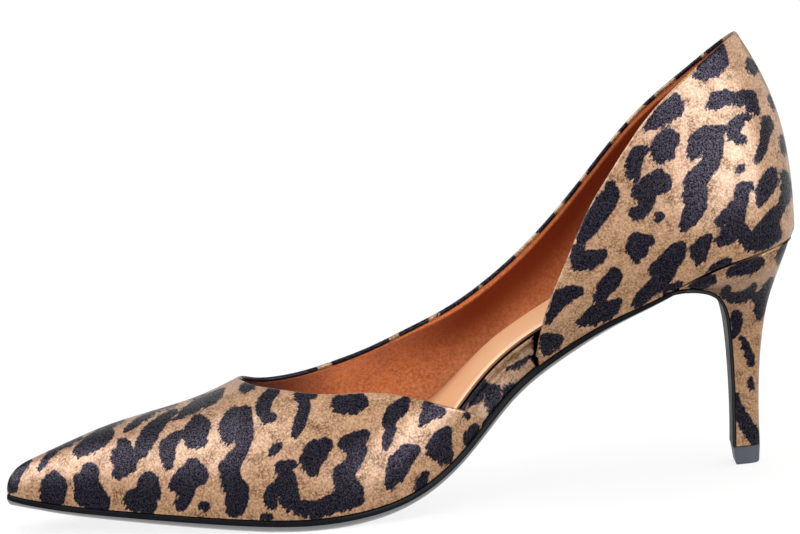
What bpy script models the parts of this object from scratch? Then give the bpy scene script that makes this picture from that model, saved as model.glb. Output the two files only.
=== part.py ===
"""A right pointed pump with a slim high heel, cut down to the sole on its inner side.

All sizes are millimetres and become metres when a mesh is made. The toe points to -X, the inner
(medial) side of the foot is -Y, the outer (lateral) side is +Y, and the shoe stands on z = 0.
"""
import math

import bmesh
import bpy
import numpy as np

for old in list(bpy.data.objects):
    bpy.data.objects.remove(old, do_unlink=True)

MM = 0.001

# Driving sizes
SHOE_LENGTH = 236.0
TOE_X = -SHOE_LENGTH / 2
HEEL_X = SHOE_LENGTH / 2
THROAT_X = -47.5
RIDGE_FRONT_X = -110.0
TOPLINE_BACK_X = 105.0
WALL = 1.6
JOINT_GAP = 0.3
RIB_BEND = 0.40

# Low cut on the inner side: where the vamp ends on the sole and where the quarter starts
VAMP_END_X = 21.6
QUARTER_START_X = 39.9

# Sole, insole and sock
SOLE_OVERHANG = 0.5
SOLE_EDGE_FLAT = 1.3
SOLE_CHAMFER = 2.0
FLAP_CHAMFER = 0.3
FLAP_THICKNESS = 0.8
INSOLE_INSET = WALL + 0.5
INSOLE_EDGE_ROUND = 1.2
INSOLE_BLUNT_TIP = 2.5
SOCK_SETBACK = 2.6
SOCK_THICKNESS = 1.2
SOCK_EDGE_ROUND = 0.3

# Heel and top piece
TOP_PIECE_HEIGHT = 5.4
TOP_PIECE_FRONT_X = 95.0
TOP_PIECE_BACK_X = 103.6
TOP_PIECE_HALF_WIDTH = 4.4
TOP_PIECE_TAPER = 0.5
TOP_PIECE_EDGE = 0.6
HEEL_FRONT_X = 83.6
HEEL_ROUNDNESS = 2.5
TIP_ROUNDNESS = 3.8

# How many strips each surface is cut into
VAMP_RIBS = 15
OUTER_RIBS = 34
VAMP_TAIL_RIBS = 16
QUARTER_RIBS = 24
RIB_STEPS = 10
BED_STRIPS = 56
HEEL_RINGS = 15
HEEL_RING_POINTS = 25


def table(columns, rows):
    """The rows as one array for each named column."""
    return dict(zip(columns.split(), np.array(rows, dtype=float).T))


# Feather line, where upper and sole meet: plan outline and height above the floor
FEATHER = table("x medial_y lateral_y z", [
    (-118.0, -3.0, -3.0, 11.2),
    (-105.0, -11.2, 6.6, 9.0),
    (-90.0, -17.0, 13.5, 7.3),
    (-70.0, -24.2, 22.3, 5.6),
    (-50.0, -31.0, 30.0, 4.2),
    (-30.0, -35.6, 34.6, 3.5),
    (-15.0, -35.6, 36.0, 4.4),
    (0.0, -32.0, 35.4, 7.7),
    (15.0, -25.2, 31.2, 16.6),
    (30.0, -19.3, 25.2, 31.0),
    (45.0, -17.3, 21.8, 41.3),
    (60.0, -19.4, 21.4, 49.4),
    (75.0, -22.8, 22.9, 55.8),
    (90.0, -24.1, 24.0, 62.2),
    (106.0, -20.6, 20.6, 65.9),
    (118.0, 0.0, 0.0, 67.6),
])

# Ridge of the vamp from above the toe tip to the throat
RIDGE = table("x y z", [
    (-110.0, -2.8, 21.0),
    (-100.0, -2.2, 24.4),
    (-89.0, -1.6, 27.9),
    (-71.0, -1.0, 31.7),
    (-58.0, -0.6, 34.7),
    (-47.5, -0.5, 38.7),
])

# Upper end of the ribs behind the throat: over the instep as far as the waist, then the topline itself
# The lean is how far the wall tips inwards there, in degrees from upright
RIB_TOP = table("x medial_y lateral_y medial_z lateral_z lean", [
    (-47.5, -0.5, -0.5, 38.7, 38.7, 90.0),
    (-35.0, -1.4, 0.4, 41.2, 40.2, 89.0),
    (-20.0, -6.0, 8.0, 43.4, 42.2, 80.0),
    (-5.0, -13.0, 16.5, 45.8, 44.8, 62.0),
    (10.0, -20.0, 22.0, 49.2, 49.0, 44.0),
    (25.0, -24.0, 24.2, 55.0, 55.2, 27.0),
    (40.0, -23.3, 23.1, 66.5, 66.4, 16.0),
    (55.0, -22.2, 22.0, 82.0, 81.4, 12.0),
    (72.0, -20.3, 20.2, 104.0, 100.2, 12.0),
    (88.0, -15.8, 15.9, 118.2, 114.0, 16.0),
    (98.0, -10.4, 10.3, 124.8, 122.2, 22.0),
    (105.0, 0.0, 0.0, 128.0, 128.0, 30.0),
])

# Share of each rib that is left below the edge of the vamp on the inner side
VAMP_SHARE = table("x share", [
    (-47.5, 1.0),
    (-46.0, 0.930),
    (-43.0, 0.853),
    (-35.0, 0.758),
    (-20.0, 0.688),
    (0.0, 0.648),
    (12.0, 0.447),
    (19.0, 0.212),
    (22.0, 0.060),
])

# Share of each rib that is left below the topline on the outer side
TOPLINE_SHARE = table("x share", [
    (-47.5, 1.0),
    (-46.0, 0.84),
    (-43.0, 0.722),
    (-36.0, 0.652),
    (-25.0, 0.672),
    (-10.0, 0.803),
    (4.0, 0.912),
    (20.0, 0.955),
    (40.0, 1.0),
])

# Lean of the side walls outwards at the feather line, in degrees from upright
FOOT_FLARE = table("x medial lateral", [
    (-118.0, 2.0, 2.0),
    (-80.0, 4.0, 4.0),
    (-47.5, 5.0, 5.0),
    (-20.0, 7.0, 6.0),
    (0.0, 10.0, 6.0),
    (20.0, 18.0, 7.0),
    (40.0, 27.0, 9.0),
    (60.0, 22.0, 12.0),
    (90.0, 13.0, 13.0),
    (118.0, 2.0, 2.0),
])

# Front edge of the quarter on the inner side, from the sole up to the topline
QUARTER_EDGE = table("x z", [
    (39.2, 41.0),
    (40.9, 48.8),
    (44.8, 60.0),
    (49.8, 70.2),
    (55.4, 81.0),
    (65.2, 95.5),
    (73.7, 106.0),
])

# Thickness of the outsole and of the insole at its inner and outer edge; the arch lifts the inner one
BED = table("x outsole medial_insole lateral_insole", [
    (-118.0, 3.0, 2.6, 2.6),
    (-90.0, 3.4, 2.8, 2.8),
    (-50.0, 3.9, 3.2, 3.2),
    (-20.0, 3.9, 4.3, 4.2),
    (5.0, 3.5, 6.2, 5.4),
    (30.0, 3.2, 7.6, 5.6),
    (50.0, 2.7, 7.0, 5.4),
    (78.0, 1.9, 4.9, 4.5),
    (118.0, 1.9, 3.4, 3.4),
])

# Heel breast: line of the outsole's inner face where it leaves the seat and runs down the heel
BREAST = table("x z half_width", [
    (80.0, 57.7, 23.3),
    (84.0, 57.7, 22.5),
    (88.0, 56.7, 20.2),
    (91.7, 54.6, 16.4),
    (94.5, 51.2, 12.6),
    (96.2, 46.0, 9.2),
    (96.8, 39.0, 6.9),
    (96.9, 27.0, 5.4),
    (96.6, 16.0, 4.7),
    (96.0, 5.7, 4.4),
])

# Back of the heel in side view, from the seat to the top piece
HEEL_BACK = table("x z", [
    (117.3, 67.2),
    (114.0, 61.0),
    (109.6, 50.7),
    (107.2, 42.0),
    (105.2, 30.0),
    (104.1, 18.0),
    (103.6, 5.7),
])


def spline(knots, values, level_start=False, level_end=False):
    """A cubic spline through the values, free or level at each end."""
    count = len(knots)
    step = np.diff(knots)
    rise = np.diff(values) / step
    system = np.zeros((count, count))
    right = np.zeros(count)
    system[0, 0] = system[-1, -1] = 1.0
    for i in range(1, count - 1):
        system[i, i - 1:i + 2] = step[i - 1], 2 * (step[i - 1] + step[i]), step[i]
        right[i] = 6 * (rise[i] - rise[i - 1])
    if level_start:
        system[0, :2] = 2 * step[0], step[0]
        right[0] = 6 * rise[0]
    if level_end:
        system[-1, -2:] = step[-1], 2 * step[-1]
        right[-1] = -6 * rise[-1]
    bend = np.linalg.solve(system, right)

    def value(at):
        i = int(np.clip(np.searchsorted(knots, at) - 1, 0, count - 2))
        before = at - knots[i]
        after = knots[i + 1] - at
        cubic = (bend[i] * after ** 3 + bend[i + 1] * before ** 3) / (6 * step[i])
        left_line = (values[i] / step[i] - bend[i] * step[i] / 6) * after
        right_line = (values[i + 1] / step[i] - bend[i + 1] * step[i] / 6) * before
        return cubic + left_line + right_line

    return value


def round_ended(knots, values, level_start=False, level_end=False):
    """A spline whose curve meets both ends of its X range at a right angle, as a rounded outline."""
    middle = (knots[0] + knots[-1]) / 2
    half = (knots[-1] - knots[0]) / 2

    def turn(x):
        return math.acos(min(1.0, max(-1.0, (middle - x) / half)))

    curve = spline(np.array([turn(x) for x in knots]), values, level_start, level_end)
    return lambda x: curve(turn(x))


FEATHER_Y = {
    -1: round_ended(FEATHER["x"], FEATHER["medial_y"]),
    1: round_ended(FEATHER["x"], FEATHER["lateral_y"]),
}
FEATHER_Z = spline(FEATHER["x"], FEATHER["z"])
RIDGE_Y = spline(RIDGE["x"], RIDGE["y"])
RIDGE_Z = spline(RIDGE["x"], RIDGE["z"])
TOP_Y = {
    -1: round_ended(RIB_TOP["x"], RIB_TOP["medial_y"], level_start=True),
    1: round_ended(RIB_TOP["x"], RIB_TOP["lateral_y"], level_start=True),
}
TOP_Z = {
    -1: round_ended(RIB_TOP["x"], RIB_TOP["medial_z"], level_start=True, level_end=True),
    1: round_ended(RIB_TOP["x"], RIB_TOP["lateral_z"], level_start=True, level_end=True),
}
TOP_LEAN = round_ended(RIB_TOP["x"], RIB_TOP["lean"], level_start=True)
SHARE = {
    -1: spline(np.sqrt(VAMP_SHARE["x"] - THROAT_X), VAMP_SHARE["share"]),
    1: spline(np.sqrt(TOPLINE_SHARE["x"] - THROAT_X), TOPLINE_SHARE["share"], level_end=True),
}
FLARE = {
    -1: spline(FOOT_FLARE["x"], FOOT_FLARE["medial"]),
    1: spline(FOOT_FLARE["x"], FOOT_FLARE["lateral"]),
}
OUTSOLE_THICKNESS = spline(BED["x"], BED["outsole"])
INSOLE_THICKNESS = {
    -1: spline(BED["x"], BED["medial_insole"]),
    1: spline(BED["x"], BED["lateral_insole"]),
}


def unit(vector):
    return vector / np.linalg.norm(vector)


def feather_point(x, side):
    """Point of the feather line at x on the inner (-1) or outer (1) side."""
    return np.array([x, FEATHER_Y[side](x), FEATHER_Z(x)])


def inward(x, side):
    """Level direction into the shoe, square to the feather outline at x."""
    turn = math.acos(-x / HEEL_X)
    first = -HEEL_X * math.cos(max(0.0, turn - 0.02))
    last = -HEEL_X * math.cos(min(math.pi, turn + 0.02))
    along = unit(np.array([last - first, FEATHER_Y[side](last) - FEATHER_Y[side](first)]))
    return np.array([side * along[1], -side * along[0], 0.0])


def rib_curve(foot_x, top_x, side):
    """Wall of the upper from the feather line to the ridge or topline, as a curve over 0 to 1."""
    foot = feather_point(foot_x, side) + np.array([0.0, 0.0, JOINT_GAP])
    level = inward(foot_x, side)
    if top_x <= THROAT_X:
        top = np.array([top_x, RIDGE_Y(top_x), RIDGE_Z(top_x)])
        across = unit(np.array([top[0] - foot[0], top[1] - foot[1], 0.0]))
        slope = (RIDGE_Z(top_x + 0.5) - RIDGE_Z(top_x - 0.5)) / 1.0
        arrive = unit(across + np.array([0.0, 0.0, across[0] * slope]))
    else:
        top = np.array([top_x, TOP_Y[side](top_x), TOP_Z[side](top_x)])
        lean = math.radians(TOP_LEAN(top_x))
        plan = np.array([top[0] - foot[0], top[1] - foot[1], 0.0])
        share = math.sin(lean) ** 2
        across = unit((1.0 - share) * level + share * unit(plan))
        arrive = across * math.sin(lean) + np.array([0.0, 0.0, math.cos(lean)])
    flare = math.radians(FLARE[side](foot_x))
    leave = np.array([0.0, 0.0, math.cos(flare)]) - level * math.sin(flare)
    reach = RIB_BEND * np.linalg.norm(top - foot)
    pull = foot + leave * reach
    push = top - arrive * reach

    def curve(t):
        s = 1.0 - t
        return s ** 3 * foot + 3 * s * s * t * pull + 3 * s * t * t * push + t ** 3 * top

    return curve


def vamp_rib_x(turn):
    """Foot and ridge positions of the vamp rib at a turn from 0 (toe tip) to a right angle (throat)."""
    fold = math.cos(turn)
    return THROAT_X - (THROAT_X - TOE_X) * fold, THROAT_X - (THROAT_X - RIDGE_FRONT_X) * fold


def open_rib_x(turn):
    """Foot and topline positions of the rib at a turn from 0 (throat) to pi (back of the heel)."""
    swing = (1.0 - math.cos(turn)) / 2
    return THROAT_X + (HEEL_X - THROAT_X) * swing, THROAT_X + (TOPLINE_BACK_X - THROAT_X) * swing


def open_turn(foot_x):
    """The turn of the open rib that stands at foot_x."""
    return math.acos(1.0 - 2.0 * (foot_x - THROAT_X) / (HEEL_X - THROAT_X))


def vamp_share(foot_x, side):
    """Part of a rib behind the throat that is left below the vamp's edge or the topline."""
    if foot_x >= TOPLINE_SHARE["x"][-1]:
        return 1.0
    return SHARE[side](math.sqrt(foot_x - THROAT_X))


def quarter_share(curve):
    """Part of a rib that is left behind the front edge of the quarter."""
    height = spline(QUARTER_EDGE["x"], QUARTER_EDGE["z"])
    for t in np.linspace(0.0, 1.0, 201):
        point = curve(t)
        if point[0] <= QUARTER_EDGE["x"][-1] and point[2] >= height(max(point[0], QUARTER_EDGE["x"][0])):
            return t
    return 1.0


def upper_ribs():
    """Ribs round the upper in order, from the toe by the inner side to the heel and back by the outer."""
    vamp_turns = np.linspace(0.0, math.pi / 2, VAMP_RIBS + 1)
    tail_turns = np.linspace(0.0, open_turn(VAMP_END_X), VAMP_TAIL_RIBS + 1)[1:]
    ease = np.linspace(0.0, 1.0, QUARTER_RIBS + 1)
    start = open_turn(QUARTER_START_X)
    quarter_turns = start + (math.pi - start) * (0.55 * ease + 0.45 * ease ** 2)
    outer_turns = np.linspace(math.pi, 0.0, OUTER_RIBS + 1)[1:-1]
    inner = [(rib_curve(*vamp_rib_x(turn), -1), 1.0) for turn in vamp_turns]
    for turn in tail_turns:
        foot_x, top_x = open_rib_x(turn)
        inner.append((rib_curve(foot_x, top_x, -1), vamp_share(foot_x, -1)))
    rest = []
    for turn in quarter_turns:
        curve = rib_curve(*open_rib_x(turn), -1)
        rest.append((curve, quarter_share(curve)))
    for turn in outer_turns:
        foot_x, top_x = open_rib_x(turn)
        rest.append((rib_curve(foot_x, top_x, 1), vamp_share(foot_x, 1)))
    rest += [(rib_curve(*vamp_rib_x(turn), 1), 1.0) for turn in vamp_turns[:0:-1]]
    return inner, rest


def rib_points(ribs):
    """Rows of points up each rib, from the feather line to its cut or end."""
    return [[curve(share * j / RIB_STEPS) for j in range(RIB_STEPS + 1)] for curve, share in ribs]


def strip_faces(points, first_index):
    """Quads between each rib and the next one."""
    width = RIB_STEPS + 1
    faces = []
    for i in range(len(points) - 1):
        for j in range(RIB_STEPS):
            here = first_index + i * width + j
            faces.append((here, here + width, here + width + 1, here + 1))
    return faces


def upper_sheet():
    """Outer face of the upper: the strip from toe to vamp end, and the one from quarter to toe."""
    inner_ribs, rest_ribs = upper_ribs()
    inner = rib_points(inner_ribs)
    rest = rib_points(rest_ribs) + [inner[0]]
    corners = [point for rib in inner + rest for point in rib]
    faces = strip_faces(inner, 0)
    faces += strip_faces(rest, len(inner) * (RIB_STEPS + 1))
    return corners, faces


def bed_rail(side, offset):
    """Edge of a layer of the foot bed: points on the feather line moved outwards by the offset."""
    points = []
    for turn in np.linspace(0.0, math.pi, BED_STRIPS + 1):
        x = -HEEL_X * math.cos(turn)
        points.append(feather_point(x, side) - inward(x, side) * offset)
    for point in points:
        point[2] = FEATHER_Z(min(HEEL_X, max(TOE_X, point[0])))
    return points


def bed_up(x):
    """Direction square to the foot bed at x, in the plane of the shoe's length."""
    x = min(HEEL_X - 0.5, max(TOE_X + 0.5, x))
    slope = FEATHER_Z(x + 0.5) - FEATHER_Z(x - 0.5)
    return unit(np.array([-slope, 0.0, 1.0]))


def layer_edge(side, inset):
    """Plan edge of a layer inside the upper: arrays of x and y, x always growing."""
    xs = []
    ys = []
    for turn in np.linspace(0.0, math.pi, 241):
        x = -HEEL_X * math.cos(turn)
        point = feather_point(x, side) + inward(x, side) * inset
        if not xs or point[0] > xs[-1]:
            xs.append(point[0])
            ys.append(point[1])
    return np.array(xs), np.array(ys)


def layer(inset, setback, bottom_of, top_of, rounding):
    """Closed layer of the foot bed, blunt at its toe, set further back on the inner side."""
    edges = {-1: layer_edge(-1, inset + setback), 1: layer_edge(1, inset)}
    end = min(edges[-1][0][-1], edges[1][0][-1])
    start = TOE_X + inset
    while np.interp(start, *edges[1]) - np.interp(start, *edges[-1]) < INSOLE_BLUNT_TIP:
        start += 0.25
    loops = []
    for turn in np.linspace(0.0, math.pi, BED_STRIPS + 1):
        x = (start + end) / 2 - (end - start) / 2 * math.cos(turn)
        up = bed_up(x)
        middle = np.array([x, 0.0, FEATHER_Z(x)])
        inner = np.interp(x, *edges[-1])
        outer = np.interp(x, *edges[1])
        ease = min(rounding, 0.3 * (outer - inner))
        loop = []
        for y, turn_in, order in ((inner, 1.0, 1), (outer, -1.0, -1)):
            side = []
            bottom = bottom_of(x, -order)
            top = top_of(x, -order)
            for height, aside in ((bottom, 0.0), (top - ease, 0.0), (top - 0.3 * ease, 0.3 * ease), (top, ease)):
                side.append(middle + up * height + np.array([0.0, y + turn_in * aside, 0.0]))
            loop += side[::order]
        loops.append(loop)
    return loft(loops)


def loft(loops):
    """Points and faces of a closed body through loops with equal counts of points."""
    width = len(loops[0])
    corners = [point for loop in loops for point in loop]
    faces = []
    for i in range(len(loops) - 1):
        for j in range(width):
            a = i * width + j
            b = i * width + (j + 1) % width
            faces.append((a, b, b + width, a + width))
    last = (len(loops) - 1) * width
    for base, order in ((0, -1), (last, 1)):
        for j in range(width // 2):
            pair = [base + j, base + (j + 1), base + width - 2 - j, base + width - 1 - j]
            cap = list(dict.fromkeys(pair))
            if len(cap) > 2:
                faces.append(tuple(cap[::order]))
    return corners, faces


def breast_line(steps, skip=0.0):
    """Points down the breast line with their half widths, evenly spaced after the skipped run."""
    run = np.concatenate([[0.0], np.cumsum(np.hypot(np.diff(BREAST["x"]), np.diff(BREAST["z"])))])
    x_of = spline(run, BREAST["x"])
    z_of = spline(run, BREAST["z"])
    width_of = spline(run, BREAST["half_width"])
    rows = []
    for s in np.linspace(skip, run[-1], steps + 1):
        along = unit(np.array([x_of(s + 0.2) - x_of(s - 0.2), 0.0, z_of(s + 0.2) - z_of(s - 0.2)]))
        front = np.array([along[2], 0.0, -along[0]])
        rows.append((np.array([x_of(s), 0.0, z_of(s)]), front, width_of(s)))
    return rows


def sole_section(inner, outer, inner_in, outer_in, inner_down, outer_down, thick, chamfer):
    """Loop round the outsole: flat top, upright edge, rounded bevel to the underside."""
    loop = []
    for rail, level, down, order in ((inner, inner_in, inner_down, 1), (outer, outer_in, outer_down, -1)):
        flat = min(SOLE_EDGE_FLAT, 0.5 * thick)
        side = [
            rail,
            rail + down * flat,
            rail + down * (flat + 0.62 * (thick - flat)) + level * 0.3 * chamfer,
            rail + down * thick + level * chamfer,
        ]
        for point in side:
            point[2] = max(0.0, point[2])
        loop += side[::order]
    return loop[::-1]


def outsole_body():
    """Outsole from the toe over tread and arch, then down the heel breast as a flap."""
    sections = []
    turns = np.linspace(0.0, math.pi, BED_STRIPS + 1)
    rails = zip(turns, bed_rail(-1, SOLE_OVERHANG), bed_rail(1, SOLE_OVERHANG))
    breast = breast_line(24)
    for turn, inner, outer in rails:
        x = -HEEL_X * math.cos(turn)
        if x > BREAST["x"][0] - 2.0:
            break
        narrow = min(1.0, 0.25 * (outer[1] - inner[1]) / SOLE_CHAMFER)
        sections.append(sole_section(
            inner, outer, inward(x, -1), inward(x, 1), -bed_up(inner[0]), -bed_up(outer[0]),
            OUTSOLE_THICKNESS(x), SOLE_CHAMFER * narrow))
    for k, (middle, front, half_width) in enumerate(breast):
        aside = np.array([0.0, half_width, 0.0])
        level = np.array([0.0, 1.0, 0.0])
        ease = max(0.0, 1.0 - k / 6.0)
        chamfer = FLAP_CHAMFER + (SOLE_CHAMFER - FLAP_CHAMFER) * ease ** 2
        thick = FLAP_THICKNESS + (BED["outsole"][-1] - FLAP_THICKNESS) * ease
        sections.append(sole_section(
            middle - aside, middle + aside, level, -level, front, front, thick, chamfer))
    return loft(sections)


def d_ring(front, back, half_width, roundness):
    """Ring with a straight front edge and a round back, from the inner to the outer front corner."""
    ring = []
    for turn in np.linspace(-math.pi / 2, math.pi / 2, HEEL_RING_POINTS):
        reach = abs(math.cos(turn)) ** (2.0 / roundness)
        aside = math.copysign(abs(math.sin(turn)) ** (2.0 / roundness), math.sin(turn))
        ring.append(front + (back - front) * reach + np.array([0.0, half_width * aside, 0.0]))
    return ring


def heel_body():
    """Heel block: a seat cut to the upper, drawn in to a slim column with a flat breast."""
    run = np.concatenate([[0.0], np.cumsum(np.hypot(np.diff(HEEL_BACK["x"]), np.diff(HEEL_BACK["z"])))])
    x_of = spline(run, HEEL_BACK["x"])
    z_of = spline(run, HEEL_BACK["z"])
    rings = []
    seat_front = np.array([HEEL_FRONT_X, 0.0, FEATHER_Z(HEEL_FRONT_X)])
    seat_back = np.array([HEEL_X - 0.1, 0.0, FEATHER_Z(HEEL_X)])
    seat = d_ring(seat_front, seat_back, FEATHER["lateral_y"][-3], 2.6)
    for point in seat:
        point[2] = FEATHER_Z(point[0])
    rings.append(seat)
    breast = breast_line(HEEL_RINGS, HEEL_FRONT_X - BREAST["x"][0])
    for k, (middle, front, half_width) in enumerate(breast):
        s = run[-1] * k / HEEL_RINGS
        back = np.array([x_of(s), 0.0, z_of(s)])
        roundness = HEEL_ROUNDNESS + (TIP_ROUNDNESS - HEEL_ROUNDNESS) * k / HEEL_RINGS
        rings.append(d_ring(middle - front * JOINT_GAP, back, half_width, roundness))
    return loft(rings[::-1])


def top_piece_body():
    """Lift under heel and flap, a little smaller at the floor, its lower edge eased."""
    rings = []
    for z, inset in (
        (0.0, TOP_PIECE_TAPER + TOP_PIECE_EDGE),
        (0.3 * TOP_PIECE_EDGE, TOP_PIECE_TAPER + 0.3 * TOP_PIECE_EDGE),
        (TOP_PIECE_EDGE, TOP_PIECE_TAPER),
        (TOP_PIECE_HEIGHT, 0.0),
    ):
        front = np.array([TOP_PIECE_FRONT_X + inset, 0.0, z])
        back = np.array([TOP_PIECE_BACK_X - inset, 0.0, z])
        rings.append(d_ring(front, back, TOP_PIECE_HALF_WIDTH - inset, TIP_ROUNDNESS))
    return loft(rings)


def material(name, colour, roughness):
    made = bpy.data.materials.new(name)
    made.use_nodes = True
    shader = made.node_tree.nodes["Principled BSDF"]
    shader.inputs["Base Color"].default_value = (*colour, 1.0)
    shader.inputs["Roughness"].default_value = roughness
    return made


def add_object(name, body, paint, closed=True):
    """A named mesh object from points in millimetres and faces; a closed body has its faces turned out."""
    corners, faces = body
    mesh = bpy.data.meshes.new(name)
    mesh.from_pydata([tuple(point * MM) for point in corners], [], faces)
    work = bmesh.new()
    work.from_mesh(mesh)
    bmesh.ops.remove_doubles(work, verts=work.verts, dist=0.001 * MM)
    if closed:
        bmesh.ops.recalc_face_normals(work, faces=work.faces)
        if work.calc_volume(signed=True) < 0.0:
            bmesh.ops.reverse_faces(work, faces=work.faces)
    work.to_mesh(mesh)
    work.free()
    mesh.materials.append(paint)
    mesh.shade_smooth()
    mesh.set_sharp_from_angle(angle=math.radians(40.0))
    made = bpy.data.objects.new(name, mesh)
    bpy.context.scene.collection.objects.link(made)
    return made


shoe = bpy.data.objects.new("shoe", None)
bpy.context.scene.collection.objects.link(shoe)

upper = add_object("upper", upper_sheet(), material("printed_satin", (0.45, 0.28, 0.15), 0.5), closed=False)
shell = upper.modifiers.new("wall", "SOLIDIFY")
shell.thickness = WALL * MM
shell.offset = -1.0
shell.use_even_offset = True
shell.use_rim = True

outsole = add_object("outsole", outsole_body(), material("black_sole", (0.01, 0.01, 0.01), 0.3))
heel = add_object("heel", heel_body(), material("covered_heel", (0.40, 0.25, 0.14), 0.5))
top_piece = add_object("top_piece", top_piece_body(), material("grey_rubber", (0.08, 0.09, 0.10), 0.6))
insole = add_object(
    "insole",
    layer(
        INSOLE_INSET,
        0.0,
        lambda x, side: JOINT_GAP,
        lambda x, side: JOINT_GAP + INSOLE_THICKNESS[side](x),
        INSOLE_EDGE_ROUND),
    material("wrapped_insole", (0.42, 0.27, 0.15), 0.5))
sock = add_object(
    "sock",
    layer(
        INSOLE_INSET,
        SOCK_SETBACK,
        lambda x, side: 2 * JOINT_GAP + INSOLE_THICKNESS[side](x),
        lambda x, side: 2 * JOINT_GAP + INSOLE_THICKNESS[side](x) + SOCK_THICKNESS,
        SOCK_EDGE_ROUND),
    material("tan_leather", (0.75, 0.40, 0.20), 0.4))

for piece in (upper, outsole, heel, top_piece, insole, sock):
    piece.parent = shoe
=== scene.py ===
# Leopard print satin pump on a slim heel: the looks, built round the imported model
import math

import bmesh
import bpy
import numpy as np
from mathutils import Matrix, Vector, kdtree


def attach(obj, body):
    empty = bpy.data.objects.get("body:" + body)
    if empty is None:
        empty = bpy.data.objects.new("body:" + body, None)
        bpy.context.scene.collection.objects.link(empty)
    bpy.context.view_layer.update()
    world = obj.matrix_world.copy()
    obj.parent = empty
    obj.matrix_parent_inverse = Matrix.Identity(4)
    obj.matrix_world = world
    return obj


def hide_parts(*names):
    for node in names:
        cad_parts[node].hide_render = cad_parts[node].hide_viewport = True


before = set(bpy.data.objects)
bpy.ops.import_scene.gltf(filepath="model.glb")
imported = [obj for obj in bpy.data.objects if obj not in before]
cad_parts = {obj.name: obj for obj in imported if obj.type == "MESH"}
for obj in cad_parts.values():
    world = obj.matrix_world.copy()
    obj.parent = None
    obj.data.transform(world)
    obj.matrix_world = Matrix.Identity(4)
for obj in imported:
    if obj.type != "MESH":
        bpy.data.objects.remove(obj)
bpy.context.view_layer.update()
mm = 0.001
print("frame loaded:", ", ".join(sorted(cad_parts)))

# The view of the photograph, in degrees and mm, with its frame in pixels
photoView = {
    "yaw": 1.0,
    "elevation": 11.5,
    "roll": 5.0,
    "distance": 1200.0,
    "mmPerPixel": 0.2915,
    "aim": (2.473, 0.0, 67.554),
    "width": 800,
    "height": 534,
    "sensor": 36.0,
    "clip": (0.05, 50.0),
}


def viewAxes():
    yaw = math.radians(photoView["yaw"])
    rise = math.radians(photoView["elevation"])
    roll = math.radians(photoView["roll"])
    ahead = np.array([math.sin(yaw) * math.cos(rise), math.cos(yaw) * math.cos(rise), -math.sin(rise)])
    level = np.array([math.cos(yaw), -math.sin(yaw), 0.0])
    upright = np.cross(level, ahead)
    right = level * math.cos(roll) - upright * math.sin(roll)
    up = upright * math.cos(roll) + level * math.sin(roll)
    return right, up, ahead


viewRight, viewUp, viewAhead = viewAxes()
eye = np.array(photoView["aim"]) - viewAhead * photoView["distance"]
focal = photoView["distance"] / photoView["mmPerPixel"]


def toPixels(points):
    # photo pixels of points given in mm
    away = points - eye
    depth = away @ viewAhead
    across = photoView["width"] / 2 + focal * (away @ viewRight) / depth
    down = photoView["height"] / 2 - focal * (away @ viewUp) / depth
    return np.stack([across, down], axis=-1)


# The last, in mm: toe towards -x, inner side of the foot towards -y, floor at z = 0
last = {
    "length": 236.0,
    "throatX": -47.5,
    "ridgeFrontX": -110.0,
    "toplineBackX": 105.0,
    "ribBend": 0.40,
    "seatGap": 0.3,
    "vampEndX": 21.6,
    "quarterStartX": 39.9,
    "crossingSteps": 400,
}
toeX = -last["length"] / 2
heelX = last["length"] / 2


def columns(names, rows):
    return dict(zip(names.split(), np.array(rows, dtype=float).T))


# Line where upper and sole meet
featherLine = columns("x innerY outerY z", [
    (-118.0, -3.0, -3.0, 11.2),
    (-105.0, -11.2, 6.6, 9.0),
    (-90.0, -17.0, 13.5, 7.3),
    (-70.0, -24.2, 22.3, 5.6),
    (-50.0, -31.0, 30.0, 4.2),
    (-30.0, -35.6, 34.6, 3.5),
    (-15.0, -35.6, 36.0, 4.4),
    (0.0, -32.0, 35.4, 7.7),
    (15.0, -25.2, 31.2, 16.6),
    (30.0, -19.3, 25.2, 31.0),
    (45.0, -17.3, 21.8, 41.3),
    (60.0, -19.4, 21.4, 49.4),
    (75.0, -22.8, 22.9, 55.8),
    (90.0, -24.1, 24.0, 62.2),
    (106.0, -20.6, 20.6, 65.9),
    (118.0, 0.0, 0.0, 67.6),
])

# Ridge of the vamp from the toe to the throat
ridgeLine = columns("x y z", [
    (-110.0, -2.8, 21.0),
    (-100.0, -2.2, 24.4),
    (-89.0, -1.6, 27.9),
    (-71.0, -1.0, 31.7),
    (-58.0, -0.6, 34.7),
    (-47.5, -0.5, 38.7),
])

# Upper ends of the ribs behind the throat; the lean is the wall's tip inwards there, from upright
ribTop = columns("x innerY outerY innerZ outerZ lean", [
    (-47.5, -0.5, -0.5, 38.7, 38.7, 90.0),
    (-35.0, -1.4, 0.4, 41.2, 40.2, 89.0),
    (-20.0, -6.0, 8.0, 43.4, 42.2, 80.0),
    (-5.0, -13.0, 16.5, 45.8, 44.8, 62.0),
    (10.0, -20.0, 22.0, 49.2, 49.0, 44.0),
    (25.0, -24.0, 24.2, 55.0, 55.2, 27.0),
    (40.0, -23.3, 23.1, 66.5, 66.4, 16.0),
    (55.0, -22.2, 22.0, 82.0, 81.4, 12.0),
    (72.0, -20.3, 20.2, 104.0, 100.2, 12.0),
    (88.0, -15.8, 15.9, 118.2, 114.0, 16.0),
    (98.0, -10.4, 10.3, 124.8, 122.2, 22.0),
    (105.0, 0.0, 0.0, 128.0, 128.0, 30.0),
])

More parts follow.
